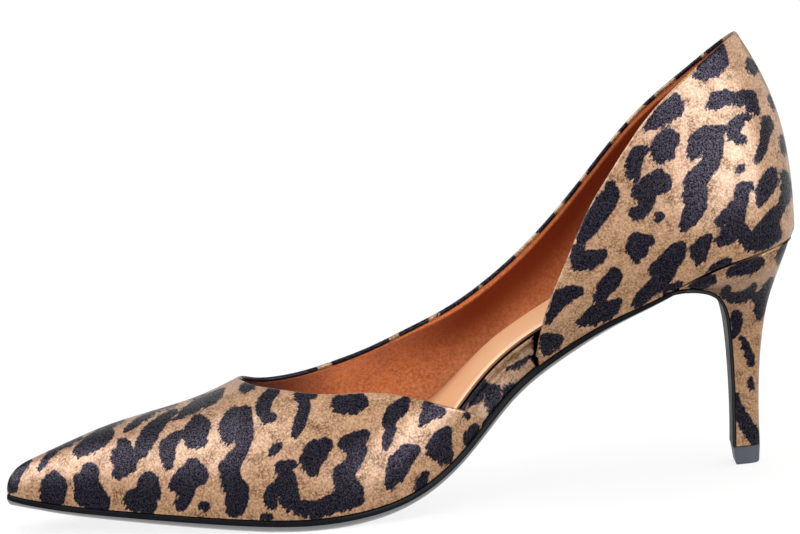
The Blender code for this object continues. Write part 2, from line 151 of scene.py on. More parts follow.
# Share of each rib that is left below the vamp's edge and below the outer topline
vampCut = columns("x share", [
    (-47.5, 1.0),
    (-46.0, 0.930),
    (-43.0, 0.853),
    (-35.0, 0.758),
    (-20.0, 0.688),
    (0.0, 0.648),
    (12.0, 0.447),
    (19.0, 0.212),
    (22.0, 0.060),
])
toplineCut = columns("x share", [
    (-47.5, 1.0),
    (-46.0, 0.84),
    (-43.0, 0.722),
    (-36.0, 0.652),
    (-25.0, 0.672),
    (-10.0, 0.803),
    (4.0, 0.912),
    (20.0, 0.955),
    (40.0, 1.0),
])

# Lean of the side walls outwards at the feather line, in degrees
footFlare = columns("x inner outer", [
    (-118.0, 2.0, 2.0),
    (-80.0, 4.0, 4.0),
    (-47.5, 5.0, 5.0),
    (-20.0, 7.0, 6.0),
    (0.0, 10.0, 6.0),
    (20.0, 18.0, 7.0),
    (40.0, 27.0, 9.0),
    (60.0, 22.0, 12.0),
    (90.0, 13.0, 13.0),
    (118.0, 2.0, 2.0),
])

# Front edge of the quarter, from the sole up to the topline
quarterEdge = columns("x z", [
    (39.2, 41.0),
    (40.9, 48.8),
    (44.8, 60.0),
    (49.8, 70.2),
    (55.4, 81.0),
    (65.2, 95.5),
    (73.7, 106.0),
])

# Thickness of the outsole and of the insole at both edges; the arch lifts the inner one
bedThickness = columns("x outsole innerInsole outerInsole", [
    (-118.0, 3.0, 2.6, 2.6),
    (-90.0, 3.4, 2.8, 2.8),
    (-50.0, 3.9, 3.2, 3.2),
    (-20.0, 3.9, 4.3, 4.2),
    (5.0, 3.5, 6.2, 5.4),
    (30.0, 3.2, 7.6, 5.6),
    (50.0, 2.7, 7.0, 5.4),
    (78.0, 1.4, 4.9, 4.5),
    (118.0, 1.4, 3.4, 3.4),
])

# Heel breast, where the outsole leaves the seat and runs down the heel
breastLine = columns("x z halfWidth", [
    (80.0, 57.7, 23.3),
    (84.0, 57.7, 22.5),
    (88.0, 56.7, 20.2),
    (91.7, 54.6, 16.4),
    (94.5, 51.2, 12.6),
    (96.2, 46.0, 9.2),
    (96.8, 39.0, 6.9),
    (96.9, 27.0, 5.4),
    (96.6, 16.0, 4.7),
    (96.0, 5.7, 4.4),
])

# Back of the heel from the seat to the top piece
heelBack = columns("x z", [
    (116.5, 67.2),
    (113.8, 61.0),
    (109.6, 50.7),
    (107.2, 42.0),
    (105.2, 30.0),
    (104.1, 18.0),
    (103.6, 5.7),
])


def spline(knots, values, levelStart=False, levelEnd=False):
    count = len(knots)
    step = np.diff(knots)
    rise = np.diff(values) / step
    system = np.zeros((count, count))
    right = np.zeros(count)
    system[0, 0] = system[-1, -1] = 1.0
    for i in range(1, count - 1):
        system[i, i - 1:i + 2] = step[i - 1], 2 * (step[i - 1] + step[i]), step[i]
        right[i] = 6 * (rise[i] - rise[i - 1])
    if levelStart:
        system[0, :2] = 2 * step[0], step[0]
        right[0] = 6 * rise[0]
    if levelEnd:
        system[-1, -2:] = step[-1], 2 * step[-1]
        right[-1] = -6 * rise[-1]
    bend = np.linalg.solve(system, right)

    def value(at):
        i = np.clip(np.searchsorted(knots, at) - 1, 0, count - 2)
        before = at - knots[i]
        after = knots[i + 1] - at
        cubic = (bend[i] * after ** 3 + bend[i + 1] * before ** 3) / (6 * step[i])
        leftLine = (values[i] / step[i] - bend[i] * step[i] / 6) * after
        rightLine = (values[i + 1] / step[i] - bend[i + 1] * step[i] / 6) * before
        return cubic + leftLine + rightLine

    return value


def roundEnded(knots, values, levelStart=False, levelEnd=False):
    # a spline whose outline closes round at both ends of its x range
    middle = (knots[0] + knots[-1]) / 2
    half = (knots[-1] - knots[0]) / 2

    def turn(x):
        return np.arccos(np.clip((middle - x) / half, -1.0, 1.0))

    curve = spline(turn(knots), values, levelStart, levelEnd)
    return lambda x: curve(turn(x))


inner, outer = -1, 1


def bySide(make, table, innerName, outerName, **ends):
    names = {inner: innerName, outer: outerName}
    return {side: make(table["x"], table[name], **ends) for side, name in names.items()}


featherY = bySide(roundEnded, featherLine, "innerY", "outerY")
featherZ = spline(featherLine["x"], featherLine["z"])
ridgeY = spline(ridgeLine["x"], ridgeLine["y"])
ridgeZ = spline(ridgeLine["x"], ridgeLine["z"])
topY = bySide(roundEnded, ribTop, "innerY", "outerY", levelStart=True)
topZ = bySide(roundEnded, ribTop, "innerZ", "outerZ", levelStart=True, levelEnd=True)
topLean = roundEnded(ribTop["x"], ribTop["lean"], levelStart=True)
cutShare = {
    inner: spline(np.sqrt(vampCut["x"] - last["throatX"]), vampCut["share"]),
    outer: spline(np.sqrt(toplineCut["x"] - last["throatX"]), toplineCut["share"], levelEnd=True),
}
flareOut = bySide(spline, footFlare, "inner", "outer")
edgeHeight = spline(quarterEdge["x"], quarterEdge["z"])
outsoleThickness = spline(bedThickness["x"], bedThickness["outsole"])
insoleThickness = bySide(spline, bedThickness, "innerInsole", "outerInsole")
# steps over which slopes are taken: an angle along the feather line, mm elsewhere
turnStep = 0.02
slopeStep = 0.5


def slopeAt(curve, x):
    return curve(x + slopeStep) - curve(x - slopeStep)


def runAlong(line):
    return np.concatenate([[0.0], np.cumsum(np.hypot(np.diff(line["x"]), np.diff(line["z"])))])


def unit(vectors):
    return vectors / np.linalg.norm(vectors, axis=-1, keepdims=True)


def featherPoint(x, side):
    return np.array([x, featherY[side](x), featherZ(x)])


def inward(x, side):
    # level direction into the shoe, square to the feather line
    turn = math.acos(max(-1.0, min(1.0, -x / heelX)))
    first = -heelX * math.cos(max(0.0, turn - turnStep))
    second = -heelX * math.cos(min(math.pi, turn + turnStep))
    along = unit(np.array([second - first, featherY[side](second) - featherY[side](first)]))
    return np.array([side * along[1], -side * along[0], 0.0])


def ribHandles(footX, topX, side):
    # four Bezier points of the wall from the feather line to the ridge or topline
    foot = featherPoint(footX, side) + np.array([0.0, 0.0, last["seatGap"]])
    level = inward(footX, side)
    if topX <= last["throatX"]:
        top = np.array([topX, ridgeY(topX), ridgeZ(topX)])
        across = unit(np.array([top[0] - foot[0], top[1] - foot[1], 0.0]))
        slope = slopeAt(ridgeZ, topX)
        arrive = unit(across + np.array([0.0, 0.0, across[0] * slope]))
    else:
        top = np.array([topX, topY[side](topX), topZ[side](topX)])
        lean = math.radians(topLean(topX))
        plan = np.array([top[0] - foot[0], top[1] - foot[1], 0.0])
        share = math.sin(lean) ** 2
        across = unit((1.0 - share) * level + share * unit(plan))
        arrive = across * math.sin(lean) + np.array([0.0, 0.0, math.cos(lean)])
    flare = math.radians(flareOut[side](footX))
    leave = np.array([0.0, 0.0, math.cos(flare)]) - level * math.sin(flare)
    reach = last["ribBend"] * np.linalg.norm(top - foot)
    return np.array([foot, foot + leave * reach, top - arrive * reach, top])


def ribPoints(handles, shares):
    s = 1.0 - shares
    weights = np.stack([s ** 3, 3 * s * s * shares, 3 * s * shares ** 2, shares ** 3], axis=-1)
    return weights @ handles


def vampRibX(turn):
    fold = math.cos(turn)
    throat = last["throatX"]
    return throat - (throat - toeX) * fold, throat - (throat - last["ridgeFrontX"]) * fold


def openRibX(turn):
    swing = (1.0 - math.cos(turn)) / 2
    throat = last["throatX"]
    return throat + (heelX - throat) * swing, throat + (last["toplineBackX"] - throat) * swing


def openTurn(footX):
    return math.acos(1.0 - 2.0 * (footX - last["throatX"]) / (heelX - last["throatX"]))


def toplineShare(footX, side):
    if footX >= toplineCut["x"][-1]:
        return 1.0
    return float(cutShare[side](math.sqrt(max(0.0, footX - last["throatX"]))))


def quarterShare(handles):
    # where a rib crosses the front edge of the quarter
    steps = np.linspace(0.0, 1.0, last["crossingSteps"] + 1)
    points = ribPoints(handles, steps)
    rise = points[:, 2] - edgeHeight(np.maximum(points[:, 0], quarterEdge["x"][0]))
    crossed = np.flatnonzero((rise >= 0.0) & (points[:, 0] <= quarterEdge["x"][-1]))
    if not len(crossed):
        return 1.0
    k = crossed[0]
    return steps[k - 1] + (steps[k] - steps[k - 1]) * -rise[k - 1] / (rise[k] - rise[k - 1])


def smoothStep(low, high, value):
    t = np.clip((value - low) / (high - low), 0.0, 1.0)
    return t * t * (3.0 - 2.0 * t)


# corners sharper than this, in degrees, stay sharp; points closer than this, in mm, become one
sharpAngle = 40.0
mergeWithin = 0.0005


def meshPiece(name, points, faces, paints, faceSlots=None):
    # points in mm, faces as index tuples; the object rides on the shoe's one body
    mesh = bpy.data.meshes.new(name)
    mesh.from_pydata((np.asarray(points) * mm).tolist(), [], faces)
    for paint in paints:
        mesh.materials.append(paint)
    if faceSlots is not None:
        mesh.polygons.foreach_set("material_index", np.asarray(faceSlots, dtype=np.int32))
    mesh.validate()
    mesh.shade_smooth()
    mesh.set_sharp_from_angle(angle=math.radians(sharpAngle))
    made = bpy.data.objects.new(name, mesh)
    bpy.context.scene.collection.objects.link(made)
    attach(made, "root")
    return made


def gridFaces(index, flip=False):
    # quads of a grid of vertex numbers
    a = index[:-1, :-1].ravel()
    b = index[1:, :-1].ravel()
    c = index[1:, 1:].ravel()
    d = index[:-1, 1:].ravel()
    quads = np.stack([a, d, c, b] if flip else [a, b, c, d], axis=-1)
    return [tuple(quad) for quad in quads.tolist()]


def gridNormals(grid):
    along = np.gradient(grid, axis=0)
    up = np.gradient(grid, axis=1)
    return unit(np.cross(along, up))


# Colours and nodes; the size of a noise is in mm
def paintHex(code):
    # sRGB hex to the linear colour that Blender takes
    channels = [int(code[i:i + 2], 16) / 255.0 for i in (1, 3, 5)]
    linear = [c / 12.92 if c <= 0.04045 else ((c + 0.055) / 1.055) ** 2.4 for c in channels]
    return (*linear, 1.0)


def setInputs(tree, node, inputs):
    # a socket is linked, anything else becomes the input's value
    for key, value in inputs.items():
        if isinstance(value, bpy.types.NodeSocket):
            tree.links.new(value, node.inputs[key])
        else:
            node.inputs[key].default_value = value


def addNode(tree, kind, inputs=None, **settings):
    made = tree.nodes.new(kind)
    for name, value in settings.items():
        setattr(made, name, value)
    setInputs(tree, made, inputs or {})
    return made


def newMaterial(name):
    made = bpy.data.materials.new(name)
    made.use_nodes = True
    return made, made.node_tree, made.node_tree.nodes["Principled BSDF"]


def objectPlace(tree):
    return addNode(tree, "ShaderNodeTexCoord").outputs["Object"]


def vertexValue(tree, name):
    return addNode(tree, "ShaderNodeAttribute", attribute_name=name).outputs["Fac"]


def perSize(sizeMm):
    # texture scale that gives features of this size in mm
    return 1.0 / (sizeMm * mm)


noiseMiddle = 0.5


def noise(tree, place, size, detail, roughness=0.5):
    return addNode(tree, "ShaderNodeTexNoise", {
        "Vector": place, "Scale": perSize(size), "Detail": detail, "Roughness": roughness,
    }).outputs["Fac"]


def mapTo(tree, value, source, target=(0.0, 1.0)):
    return addNode(tree, "ShaderNodeMapRange", {
        "Value": value,
        "From Min": source[0],
        "From Max": source[1],
        "To Min": target[0],
        "To Max": target[1],
    }).outputs["Result"]


def mixColours(tree, share, first, second):
    # each colour is a hex code or a socket
    ends = [paintHex(end) if isinstance(end, str) else end for end in (first, second)]
    return addNode(tree, "ShaderNodeMix", {0: share, 6: ends[0], 7: ends[1]}, data_type="RGBA").outputs[2]


def mixValues(tree, share, first, second):
    return addNode(tree, "ShaderNodeMix", {0: share, 2: first, 3: second}).outputs[0]


def compute(tree, operation, *values, **settings):
    made = addNode(tree, "ShaderNodeMath", dict(enumerate(values)), operation=operation, **settings)
    return made.outputs[0]


def bumpNormal(tree, height, depthMm, strength=1.0):
    return addNode(tree, "ShaderNodeBump", {
        "Height": height, "Strength": strength, "Distance": depthMm * mm,
    }).outputs["Normal"]


# Printed polyester satin, woven with long floats: a soft sheen broken into fine glints, warm ground,
# blue-black spots whose hair-like teeth all lie the same way; the weave is drawn coarser than real to show
satin = {
    "ground": "#583D24",
    "groundLight": "#7E6044",
    "groundDark": "#362210",
    "spot": "#040407",
    "spotSheen": "#090910",
    "groundShine": "#FFE0CC",
    "spotShine": "#F0E2FF",
    "groundGloss": (0.3, 1.75),
    "spotGloss": (0.02, 0.36),
    "clouds": {"size": 4.5, "detail": 3.0, "roughness": 0.55},
    "cloudRange": (0.34, 0.6),
    "cloudInGloss": 0.55,
    "grain": {"size": 0.62, "detail": 2.0, "roughness": 0.7},
    "grainRange": (0.4, 0.68),
    "floats": {"size": 0.42, "detail": 1.0},
    "floatRange": (0.38, 0.72),
    "teeth": {"size": 0.9, "detail": 2.0, "roughness": 0.6},
    "toothStretch": 2.2,
    "toothDepth": 3.2,
    "edgeDepth": 1.5,
    "hairLean": 33.0,
    "edgeSoftness": 0.2,
    "roughness": 0.35,
    "bump": 0.02,
    # painted shade on the wrapped insole edge and on the heel, as shares towards groundDark
    "wrapShade": 0.5,
    "heelShade": 0.2,
}


def satinMaterial(name, paintedShade=0.0):
    made, tree, shader = newMaterial(name)
    place = objectPlace(tree)
    # spots with a ragged edge, most where the hairs point out of the spot
    hair = addNode(tree, "ShaderNodeMapping", {
        "Vector": place,
        "Rotation": (0.0, math.radians(satin["hairLean"]), 0.0),
        "Scale": (1.0, 1.0, satin["toothStretch"]),
    }, vector_type="TEXTURE").outputs["Vector"]
    teeth = compute(tree, "SUBTRACT", noise(tree, hair, **satin["teeth"]), noiseMiddle)
    ragged = vertexValue(tree, "tooth")
    depth = compute(tree, "MULTIPLY_ADD", ragged, satin["toothDepth"], satin["edgeDepth"])
    edge = compute(tree, "MULTIPLY_ADD", teeth, depth, vertexValue(tree, "spot"))
    inSpot = mapTo(tree, edge, (satin["edgeSoftness"], -satin["edgeSoftness"]))
    # colours of the ground and of the spots
    cloudShare = mapTo(tree, noise(tree, place, **satin["clouds"]), satin["cloudRange"])
    grainShare = mapTo(tree, noise(tree, place, **satin["grain"]), satin["grainRange"])
    floats = noise(tree, place, **satin["floats"])
    floatShare = mapTo(tree, floats, satin["floatRange"])
    ground = mixColours(tree, cloudShare, satin["groundDark"], satin["ground"])
    ground = mixColours(tree, grainShare, ground, satin["groundLight"])
    # painted shade: the ground darkened towards groundDark by the given share
    ground = mixColours(tree, paintedShade, ground, satin["groundDark"])
    spot = mixColours(tree, floatShare, satin["spot"], satin["spotSheen"])
    # sheen, less of it where shade is painted in
    glosses = []
    lightShare = mixValues(tree, satin["cloudInGloss"], grainShare, cloudShare)
    for share, gloss in ((lightShare, satin["groundGloss"]), (floatShare, satin["spotGloss"])):
        glosses.append(mapTo(tree, share, (0.0, 1.0), [end * (1.0 - paintedShade) for end in gloss]))
    setInputs(tree, shader, {
        "Base Color": mixColours(tree, inSpot, ground, spot),
        "Specular IOR Level": mixValues(tree, inSpot, *glosses),
        "Specular Tint": mixColours(tree, inSpot, satin["groundShine"], satin["spotShine"]),
        "Normal": bumpNormal(tree, floats, satin["bump"]),
        "Roughness": satin["roughness"],
    })
    return made


# Pigskin suede lining, brushed: no shine, a short nap that lies lighter and darker in patches; painted shade
# below the edge and a painted highlight at the lip are laid over it
suede = {
    "colour": "#B25E2F",
    "light": "#D28A5E",
    "dark": "#934923",
    # painted shade and painted highlight colours for the lining
    "shaded": "#581D05",
    "litLip": "#AE6339",
    "nap": {"size": 0.9, "detail": 3.0, "roughness": 0.7},
    "napRange": (0.3, 0.7),
    "napLight": 0.8,
    "patches": {"size": 9.0, "detail": 4.0, "roughness": 0.6},
    "patchRange": (0.38, 0.62),
    "roughness": 0.9,
    "sheen": 0.06,
    "shine": 0.05,
    "bump": 0.15,
}


def suedeMaterial():
    made, tree, shader = newMaterial("brushed_suede_lining")
    place = objectPlace(tree)
    patches = mapTo(tree, noise(tree, place, **suede["patches"]), suede["patchRange"])
    nap = noise(tree, place, **suede["nap"])
    napShare = mapTo(tree, nap, suede["napRange"], (0.0, suede["napLight"]))
    patched = mixColours(tree, patches, suede["dark"], suede["colour"])
    lit = mixColours(tree, napShare, patched, suede["light"])
    # painted light: up to 1 the lining goes from the painted shade colour to its own colours, above 1
    # towards the painted highlight at the lip
    liningLight = vertexValue(tree, "liningLight")
    nearLitLip = compute(tree, "SUBTRACT", liningLight, 1.0, use_clamp=True)
    setInputs(tree, shader, {
        "Base Color": mixColours(tree, nearLitLip, mixColours(tree, liningLight, suede["shaded"], lit), suede["litLip"]),
        "Normal": bumpNormal(tree, nap, suede["bump"]),
        "Roughness": suede["roughness"],
        "Sheen Weight": suede["sheen"],
        "Specular IOR Level": suede["shine"],
    })
    return made


# Drum-dyed sheepskin, plated smooth: even tan, a soft half gloss and a very fine grain
sheepskin = {
    "colour": "#B08866",
    "shade": "#A67855",
    "grainSize": 0.6,
    "patches": {"size": 14.0, "detail": 3.0},
    "roughness": 0.42,
    "bump": 0.03,
    "bumpStrength": 0.6,
}


def sheepskinMaterial():
    made, tree, shader = newMaterial("plated_sheepskin")
    place = objectPlace(tree)
    grain = addNode(tree, "ShaderNodeTexVoronoi", {
        "Vector": place, "Scale": perSize(sheepskin["grainSize"]),
    }).outputs["Distance"]
    patches = noise(tree, place, **sheepskin["patches"])
    setInputs(tree, shader, {
        "Base Color": mixColours(tree, patches, sheepskin["shade"], sheepskin["colour"]),
        "Normal": bumpNormal(tree, grain, sheepskin["bump"], sheepskin["bumpStrength"]),
        "Roughness": sheepskin["roughness"],
    })
    return made


# The cut edge of the same skin, stained: rough fibres, dark brown
cutEdge = {
    "colour": "#512A14",
    "fibre": "#6E4022",
    "fibres": {"size": 0.3, "detail": 2.0},
    "roughness": 0.75,
}


def cutEdgeMaterial():
    made, tree, shader = newMaterial("stained_cut_edge")
    fibres = noise(tree, objectPlace(tree), **cutEdge["fibres"])
    setInputs(tree, shader, {
        "Base Color": mixColours(tree, fibres, cutEdge["colour"], cutEdge["fibre"]),
        "Roughness": cutEdge["roughness"],
    })
    return made


# Resin sole, moulded: the edge waxed to a quiet black, bevel and underside polished to a mirror
resin = {
    "colour": "#060607",
    "worn": "#101114",
    "smears": {"size": 6.0, "detail": 5.0, "roughness": 0.65},
    "smearRange": (0.3, 0.7),
    "smearGloss": (-0.06, 0.1),
    "waxIor": 2.1,
    "waxRoughness": 0.08,
    "finishes": {
        "waxed_sole_edge": {"polish": 0.0, "roughness": 0.24, "shine": 0.03},
        "polished_resin_sole": {"polish": 1.0, "roughness": 0.2, "shine": 0.8},
        "dull_breast_flap": {"polish": 0.0, "roughness": 0.5, "shine": 0.15},
    },
}


def resinMaterial(name):
    finish = resin["finishes"][name]
    made, tree, shader = newMaterial(name)
    smears = noise(tree, objectPlace(tree), **resin["smears"])
    roughness = [finish["roughness"] + more for more in resin["smearGloss"]]
    setInputs(tree, shader, {
        "Base Color": mixColours(tree, smears, resin["colour"], resin["worn"]),
        "Roughness": mapTo(tree, smears, resin["smearRange"], roughness),
        "Specular IOR Level": finish["shine"],
        "Coat Weight": finish["polish"],
        "Coat IOR": resin["waxIor"],
        "Coat Roughness": resin["waxRoughness"],
    })
    return made


# Thermoplastic polyurethane top piece, injection moulded: slate grey, dull, faintly speckled
topLift = {
    "colour": "#1B2027",
    "speck": "#262B34",
    "specks": {"size": 0.5, "detail": 3.0},
    "roughness": 0.5,
    "bump": 0.03,
    "bumpStrength": 0.5,
}


def topLiftMaterial():
    made, tree, shader = newMaterial("moulded_polyurethane")
    specks = noise(tree, objectPlace(tree), **topLift["specks"])
    setInputs(tree, shader, {
        "Base Color": mixColours(tree, specks, topLift["colour"], topLift["speck"]),
        "Normal": bumpNormal(tree, specks, topLift["bump"], topLift["bumpStrength"]),
        "Roughness": topLift["roughness"],
    })
    return made


# The print, charted: each spot is a chain of (x, y, radius) in photo pixels
vampSpots = [
    [(11.5, 488.4, 4.8), (14, 480.7, 4.8), (17.9, 473, 3.5), (24.2, 465.4, 3), (30, 460.9, 1.5)],
    [(40.2, 468, 1.5), (44.6, 460.9, 2.5), (49.7, 455.2, 2.3), (56.1, 450.1, 2), (63.8, 445.6, 1.2)],
    [(54.8, 475, 3.5), (54, 486, 12.5), (52.5, 496, 12)],
    [(79.1, 451.4, 5), (89.3, 445, 8.3), (99.5, 438.6, 8.3), (109.7, 432.9, 4)],
    [(125.5, 431, 1.2), (130, 427.5, 2.6), (138, 421.5, 3), (146, 416.5, 2.4), (153, 412.5, 1.6)],
    [(140.9, 452.7, 5.7), (144.1, 443.7, 7.6), (149.2, 434.5, 8.2), (156, 426.5, 6.2), (163, 420, 4.6),
     (169.5, 415, 3.4), (175, 411.2, 1.8)],
    [(123.7, 445.6, 7), (123.1, 457.8, 11.5), (128.8, 465.4, 7.5), (118.6, 473, 6)],
    [(89.9, 471.8, 8.3), (85.5, 483.3, 12), (89.3, 493.5, 14), (96.9, 502.4, 12.5)],
    [(148.6, 482, 9.6), (150.5, 493.5, 9.6), (135.2, 499.8, 10.8), (146.7, 505, 10)],
    [(177, 418.6, 1.6), (186, 411.5, 4), (198.5, 404.5, 5.2), (211, 398.6, 5.4), (218.5, 393, 3.8),
     (223, 389.5, 1.2)],
    [(244, 389, 4.2), (249.5, 385.5, 5)],
    [(276, 391.5, 3.2), (270, 394.5, 5.5), (264.5, 402, 6.5), (262.5, 411, 6.3), (265.5, 418, 5.5),
     (272, 417, 4)],
    [(179.5, 434.5, 3.5), (174.5, 438, 5), (167.5, 446.5, 7.3), (167, 458, 7), (168, 465, 4.5)],
    [(198, 421.5, 6.8), (204.5, 424.5, 5.8), (195.5, 433, 12.3), (193.5, 441, 7.5), (201, 440.5, 5.8)],
    [(246, 411.5, 5.2), (236, 419.5, 12), (230, 428, 11), (227.5, 437, 7)],
    [(246, 411.5, 5.2), (245, 425, 7.5), (243.5, 437, 9), (243, 450, 5), (235, 459, 8), (228.5, 469, 9.5),
     (231, 481, 9.5), (237.5, 491, 11), (236.5, 503, 10.5), (233, 511, 6)],
    [(262, 517, 2.2), (270, 516, 2.6)],
    [(50, 452, 2), (66, 444, 2.6), (80, 437.5, 2)],
    [(98, 430, 2.6), (112, 424, 3.2), (122, 419.5, 2.2)],
    [(150, 411.5, 1.2), (158, 408.5, 2.2), (167, 406, 2.2), (176, 403.5, 1.2)],
    [(191, 399, 0.7), (198, 396.5, 0.9), (205, 394, 0.6)],
    [(193, 466, 7.5), (198, 475, 10), (188, 478, 12), (178, 485, 8.5)],
    [(188, 490, 6.5), (186.5, 498, 5.5), (182, 503.5, 6.3), (179, 504, 5)],
    [(202.5, 504.5, 2.5), (206, 506, 3.2), (204, 509, 2.2)],
    [(272.5, 452, 3), (276, 448.5, 3.6), (280, 444.5, 1.8)],
    [(297, 396, 3.2), (304, 397, 5), (313, 395, 3.5)],
    [(304, 399, 5.5), (304, 411, 5), (299.5, 423, 5.5), (295.5, 434, 3.5)],
    [(340, 404, 8.5), (351, 405, 9.8), (359.5, 402, 8)],
    [(405.5, 400.5, 3.8), (401.5, 406, 7), (394, 412.5, 7.5), (388.5, 420, 6), (390, 430, 5.2),
     (387.5, 440, 4), (385.5, 448.5, 2)],
    [(427.5, 406.5, 5), (430, 412, 7.5), (440, 412, 5)],
    [(430, 412, 7.5), (423.5, 421, 4), (421, 425.5, 1.8)],
    [(325.5, 445, 7), (316, 452, 11.5), (311, 461, 10.5), (312.5, 470.5, 6.5)],
    [(364.5, 435, 4.8), (357, 440.5, 8.5), (346.5, 443.5, 7.5), (358.5, 450, 8)],
    [(358.5, 450, 8), (351.5, 465.5, 7), (343.5, 474.5, 10), (346, 486, 11.5), (352, 492.5, 11.5),
     (357.5, 501, 5.5)],
    [(347, 500, 9), (333, 503, 8.5), (318, 510, 8), (303, 509, 8)],
    [(292, 465, 4.5), (282, 467, 6), (285.5, 477, 9.5), (287.5, 490, 10), (291, 502, 9)],
    [(274, 491, 7), (269.5, 499, 6.5), (272, 504, 5)],
    [(416.5, 449.5, 4), (407, 453.5, 9), (399.5, 463.5, 11), (395.5, 474.5, 9), (390, 484, 5)],
    [(447, 431, 4.5), (441.5, 441, 10), (438.5, 449, 11.5), (444.5, 455.5, 8.5)],
    [(426, 473.5, 2.5), (422.5, 480, 4.5), (419, 486.5, 4.5)],
    [(475, 428, 4), (469, 436, 4.5), (466.5, 443, 3)],
    [(467, 415.5, 3)],
]
quarterSpots = [
    [(721, 49, 4.8), (719.5, 61, 8.5), (711, 68.5, 9.5), (702, 74, 6), (696, 75.5, 3)],
    [(719, 45.5, 3), (710, 57, 4.5), (702, 67, 4)],
    [(749, 62, 3.5), (752.5, 69, 5.5)],
    [(675.5, 98, 4.5), (674.5, 107, 9.5), (663, 115.5, 8.5), (652, 124, 5), (645, 130, 2.5)],
    [(709, 106.5, 3.5), (716, 101, 8), (725, 97.5, 7.5), (735, 99, 5.5), (743, 98.5, 8), (750, 97, 6.5)],
    [(749, 98, 7), (752.5, 107, 6), (757.5, 112.5, 2.5)],
    [(748.5, 117.5, 2.8), (740, 120.5, 5.5), (734, 127, 6.5), (733.5, 135, 5.8), (737.5, 140, 4),
     (743, 139.5, 3.5)],
    [(766.5, 120.5, 4.5), (767.5, 127, 6), (764.5, 139, 3.6), (761.5, 150, 4.5), (757.5, 160, 2.8)],
    [(783, 138, 3), (785, 150, 4)],
    [(770, 97, 1.8), (773.5, 108, 2)],
    [(720, 130, 4.5), (707, 137, 10.5), (698, 143, 10), (692, 155, 4.5)],
    [(718, 132, 5), (714, 145, 9.5), (712, 158, 8.5), (711, 163, 7.5), (703, 171.5, 9), (694.5, 182, 10.5),
     (695, 194, 11.5), (695.5, 206, 10.5), (690, 218, 8), (683.5, 228, 4)],
    [(668, 135, 6.5), (672, 139, 7.5), (663, 146, 12), (660, 155, 7.5), (669, 154, 5.5)],
    [(645, 149.5, 4), (637, 153.5, 6.5), (634, 163, 7.5), (632.5, 172, 7), (636, 177, 3.5)],
    [(658, 176, 6.5), (662.5, 183, 9), (650, 187, 11.5), (640, 193.5, 8)],
    [(648, 202, 5.5), (644, 210, 5.5), (637, 214, 6.5), (633, 212, 4)],
    [(657, 215, 2.5), (661.5, 216, 2.8), (657.5, 219.5, 2.6)],
    [(610, 186, 5), (611.5, 194, 8), (604.5, 205, 10), (596, 217, 9), (588, 229, 7.5), (581.5, 239, 4.5)],
    [(575, 248, 3.5), (578, 252, 6.5), (579, 261, 8.5), (589, 258.5, 8), (598, 257, 7), (604, 253.5, 3)],
    [(576, 265, 5), (591, 264, 5.5)],
    [(636, 240, 7), (650, 240.5, 4.5)],
    [(636, 240, 7), (637.5, 248, 11), (636.5, 256, 5.5)],
    [(709, 238, 3.8), (703, 244, 7.5), (698.5, 252, 8.5), (700, 257.5, 6)],
    [(681, 247.5, 5.5), (675, 254.5, 9.5), (667.5, 264.5, 10.5), (664, 275, 9), (657, 284, 7.5),
     (648, 292, 6.5), (640, 299, 5.5), (636.5, 304.5, 3.5)],
    [(668, 262, 9), (655, 268.5, 5), (650, 271.5, 2)],
    [(613.5, 274, 6.5), (617, 277, 5.5), (608, 284.5, 8.5), (602, 292.5, 6), (599, 299, 5)],
    [(618.5, 301.5, 2.8), (612.5, 308, 7), (602, 309.5, 8.5), (594, 316, 8.5), (585.5, 320.5, 5),
     (579, 322.5, 2.5)],
    [(604, 309, 7), (604, 316, 6)],
    [(578.5, 291.5, 4.5), (571.5, 293.5, 7.5), (562.5, 297.5, 8.5), (556, 306, 5.5), (551.5, 315, 4),
     (548, 322.5, 2)],
    [(558.5, 339.5, 4.5), (552, 342, 9), (546, 339, 5), (546.5, 350, 5)],
    [(680, 284, 2.5), (672, 287.5, 2.5), (664, 291, 2)],
    [(728, 262, 4), (719, 266, 4), (710, 271.5, 2.5)],
    [(772, 172.5, 5), (769, 181, 8.5), (764, 190.5, 8), (760.5, 201, 4)],
    [(738, 170.5, 2.8), (741.5, 168, 2.8), (744.5, 165.5, 1.5)],
    [(750, 186, 3.5), (742.5, 189, 6.5), (741, 200, 7), (736.5, 211, 9), (727, 218.5, 8),
     (718.5, 222.5, 4)],
    [(736, 213, 9), (734, 226, 9), (728, 237, 7.5), (720.5, 241, 4)],
    [(736, 226, 8), (744.5, 236, 7.5), (752, 243, 7.5), (760, 242, 8.5)],
    [(782.5, 206, 3.5), (776, 213, 6), (770.5, 222, 8), (764, 232.5, 10), (760, 242, 8.5)],
    [(784, 174, 3.5), (786.5, 185, 5.5), (786, 196, 5), (781.5, 206, 4)],
    [(771, 226, 8), (772, 234, 9), (765, 240, 9)],
]
heelSpots = [
    [(729, 272, 3), (738, 269.5, 5.5), (748, 267, 7.5), (757.5, 263, 6)],
    [(692, 288.5, 4), (702, 283.5, 6.5), (710.5, 279.5, 5)],
    [(728, 288, 2.5), (725, 294.5, 4.5), (733, 298.5, 5), (742, 297.5, 5), (750, 292.5, 4.5),
     (754.5, 285, 2)],
    [(772, 281, 3), (768.5, 289, 5.5), (763.5, 298, 7.5), (760.5, 308, 6), (758, 317, 3)],
    [(750, 292.5, 4.5), (754, 297, 4), (763.5, 298, 7.5)],
    [(786, 246, 3.5), (781.5, 254, 4), (779, 261, 2.5)],
    [(736.5, 315, 4.5), (737, 324, 5), (735, 333, 3.5)],
    [(742.5, 340, 3), (746.5, 349, 3.5), (750.5, 358, 3.5), (752, 363.5, 2)],
    [(750.5, 378.5, 1.6), (750, 383, 2.9), (752, 388, 1.6)],
    [(736, 394, 1.4), (737.5, 404, 3), (741, 414, 5), (746.5, 424, 6), (752, 433, 7), (755.5, 440, 6)],
]
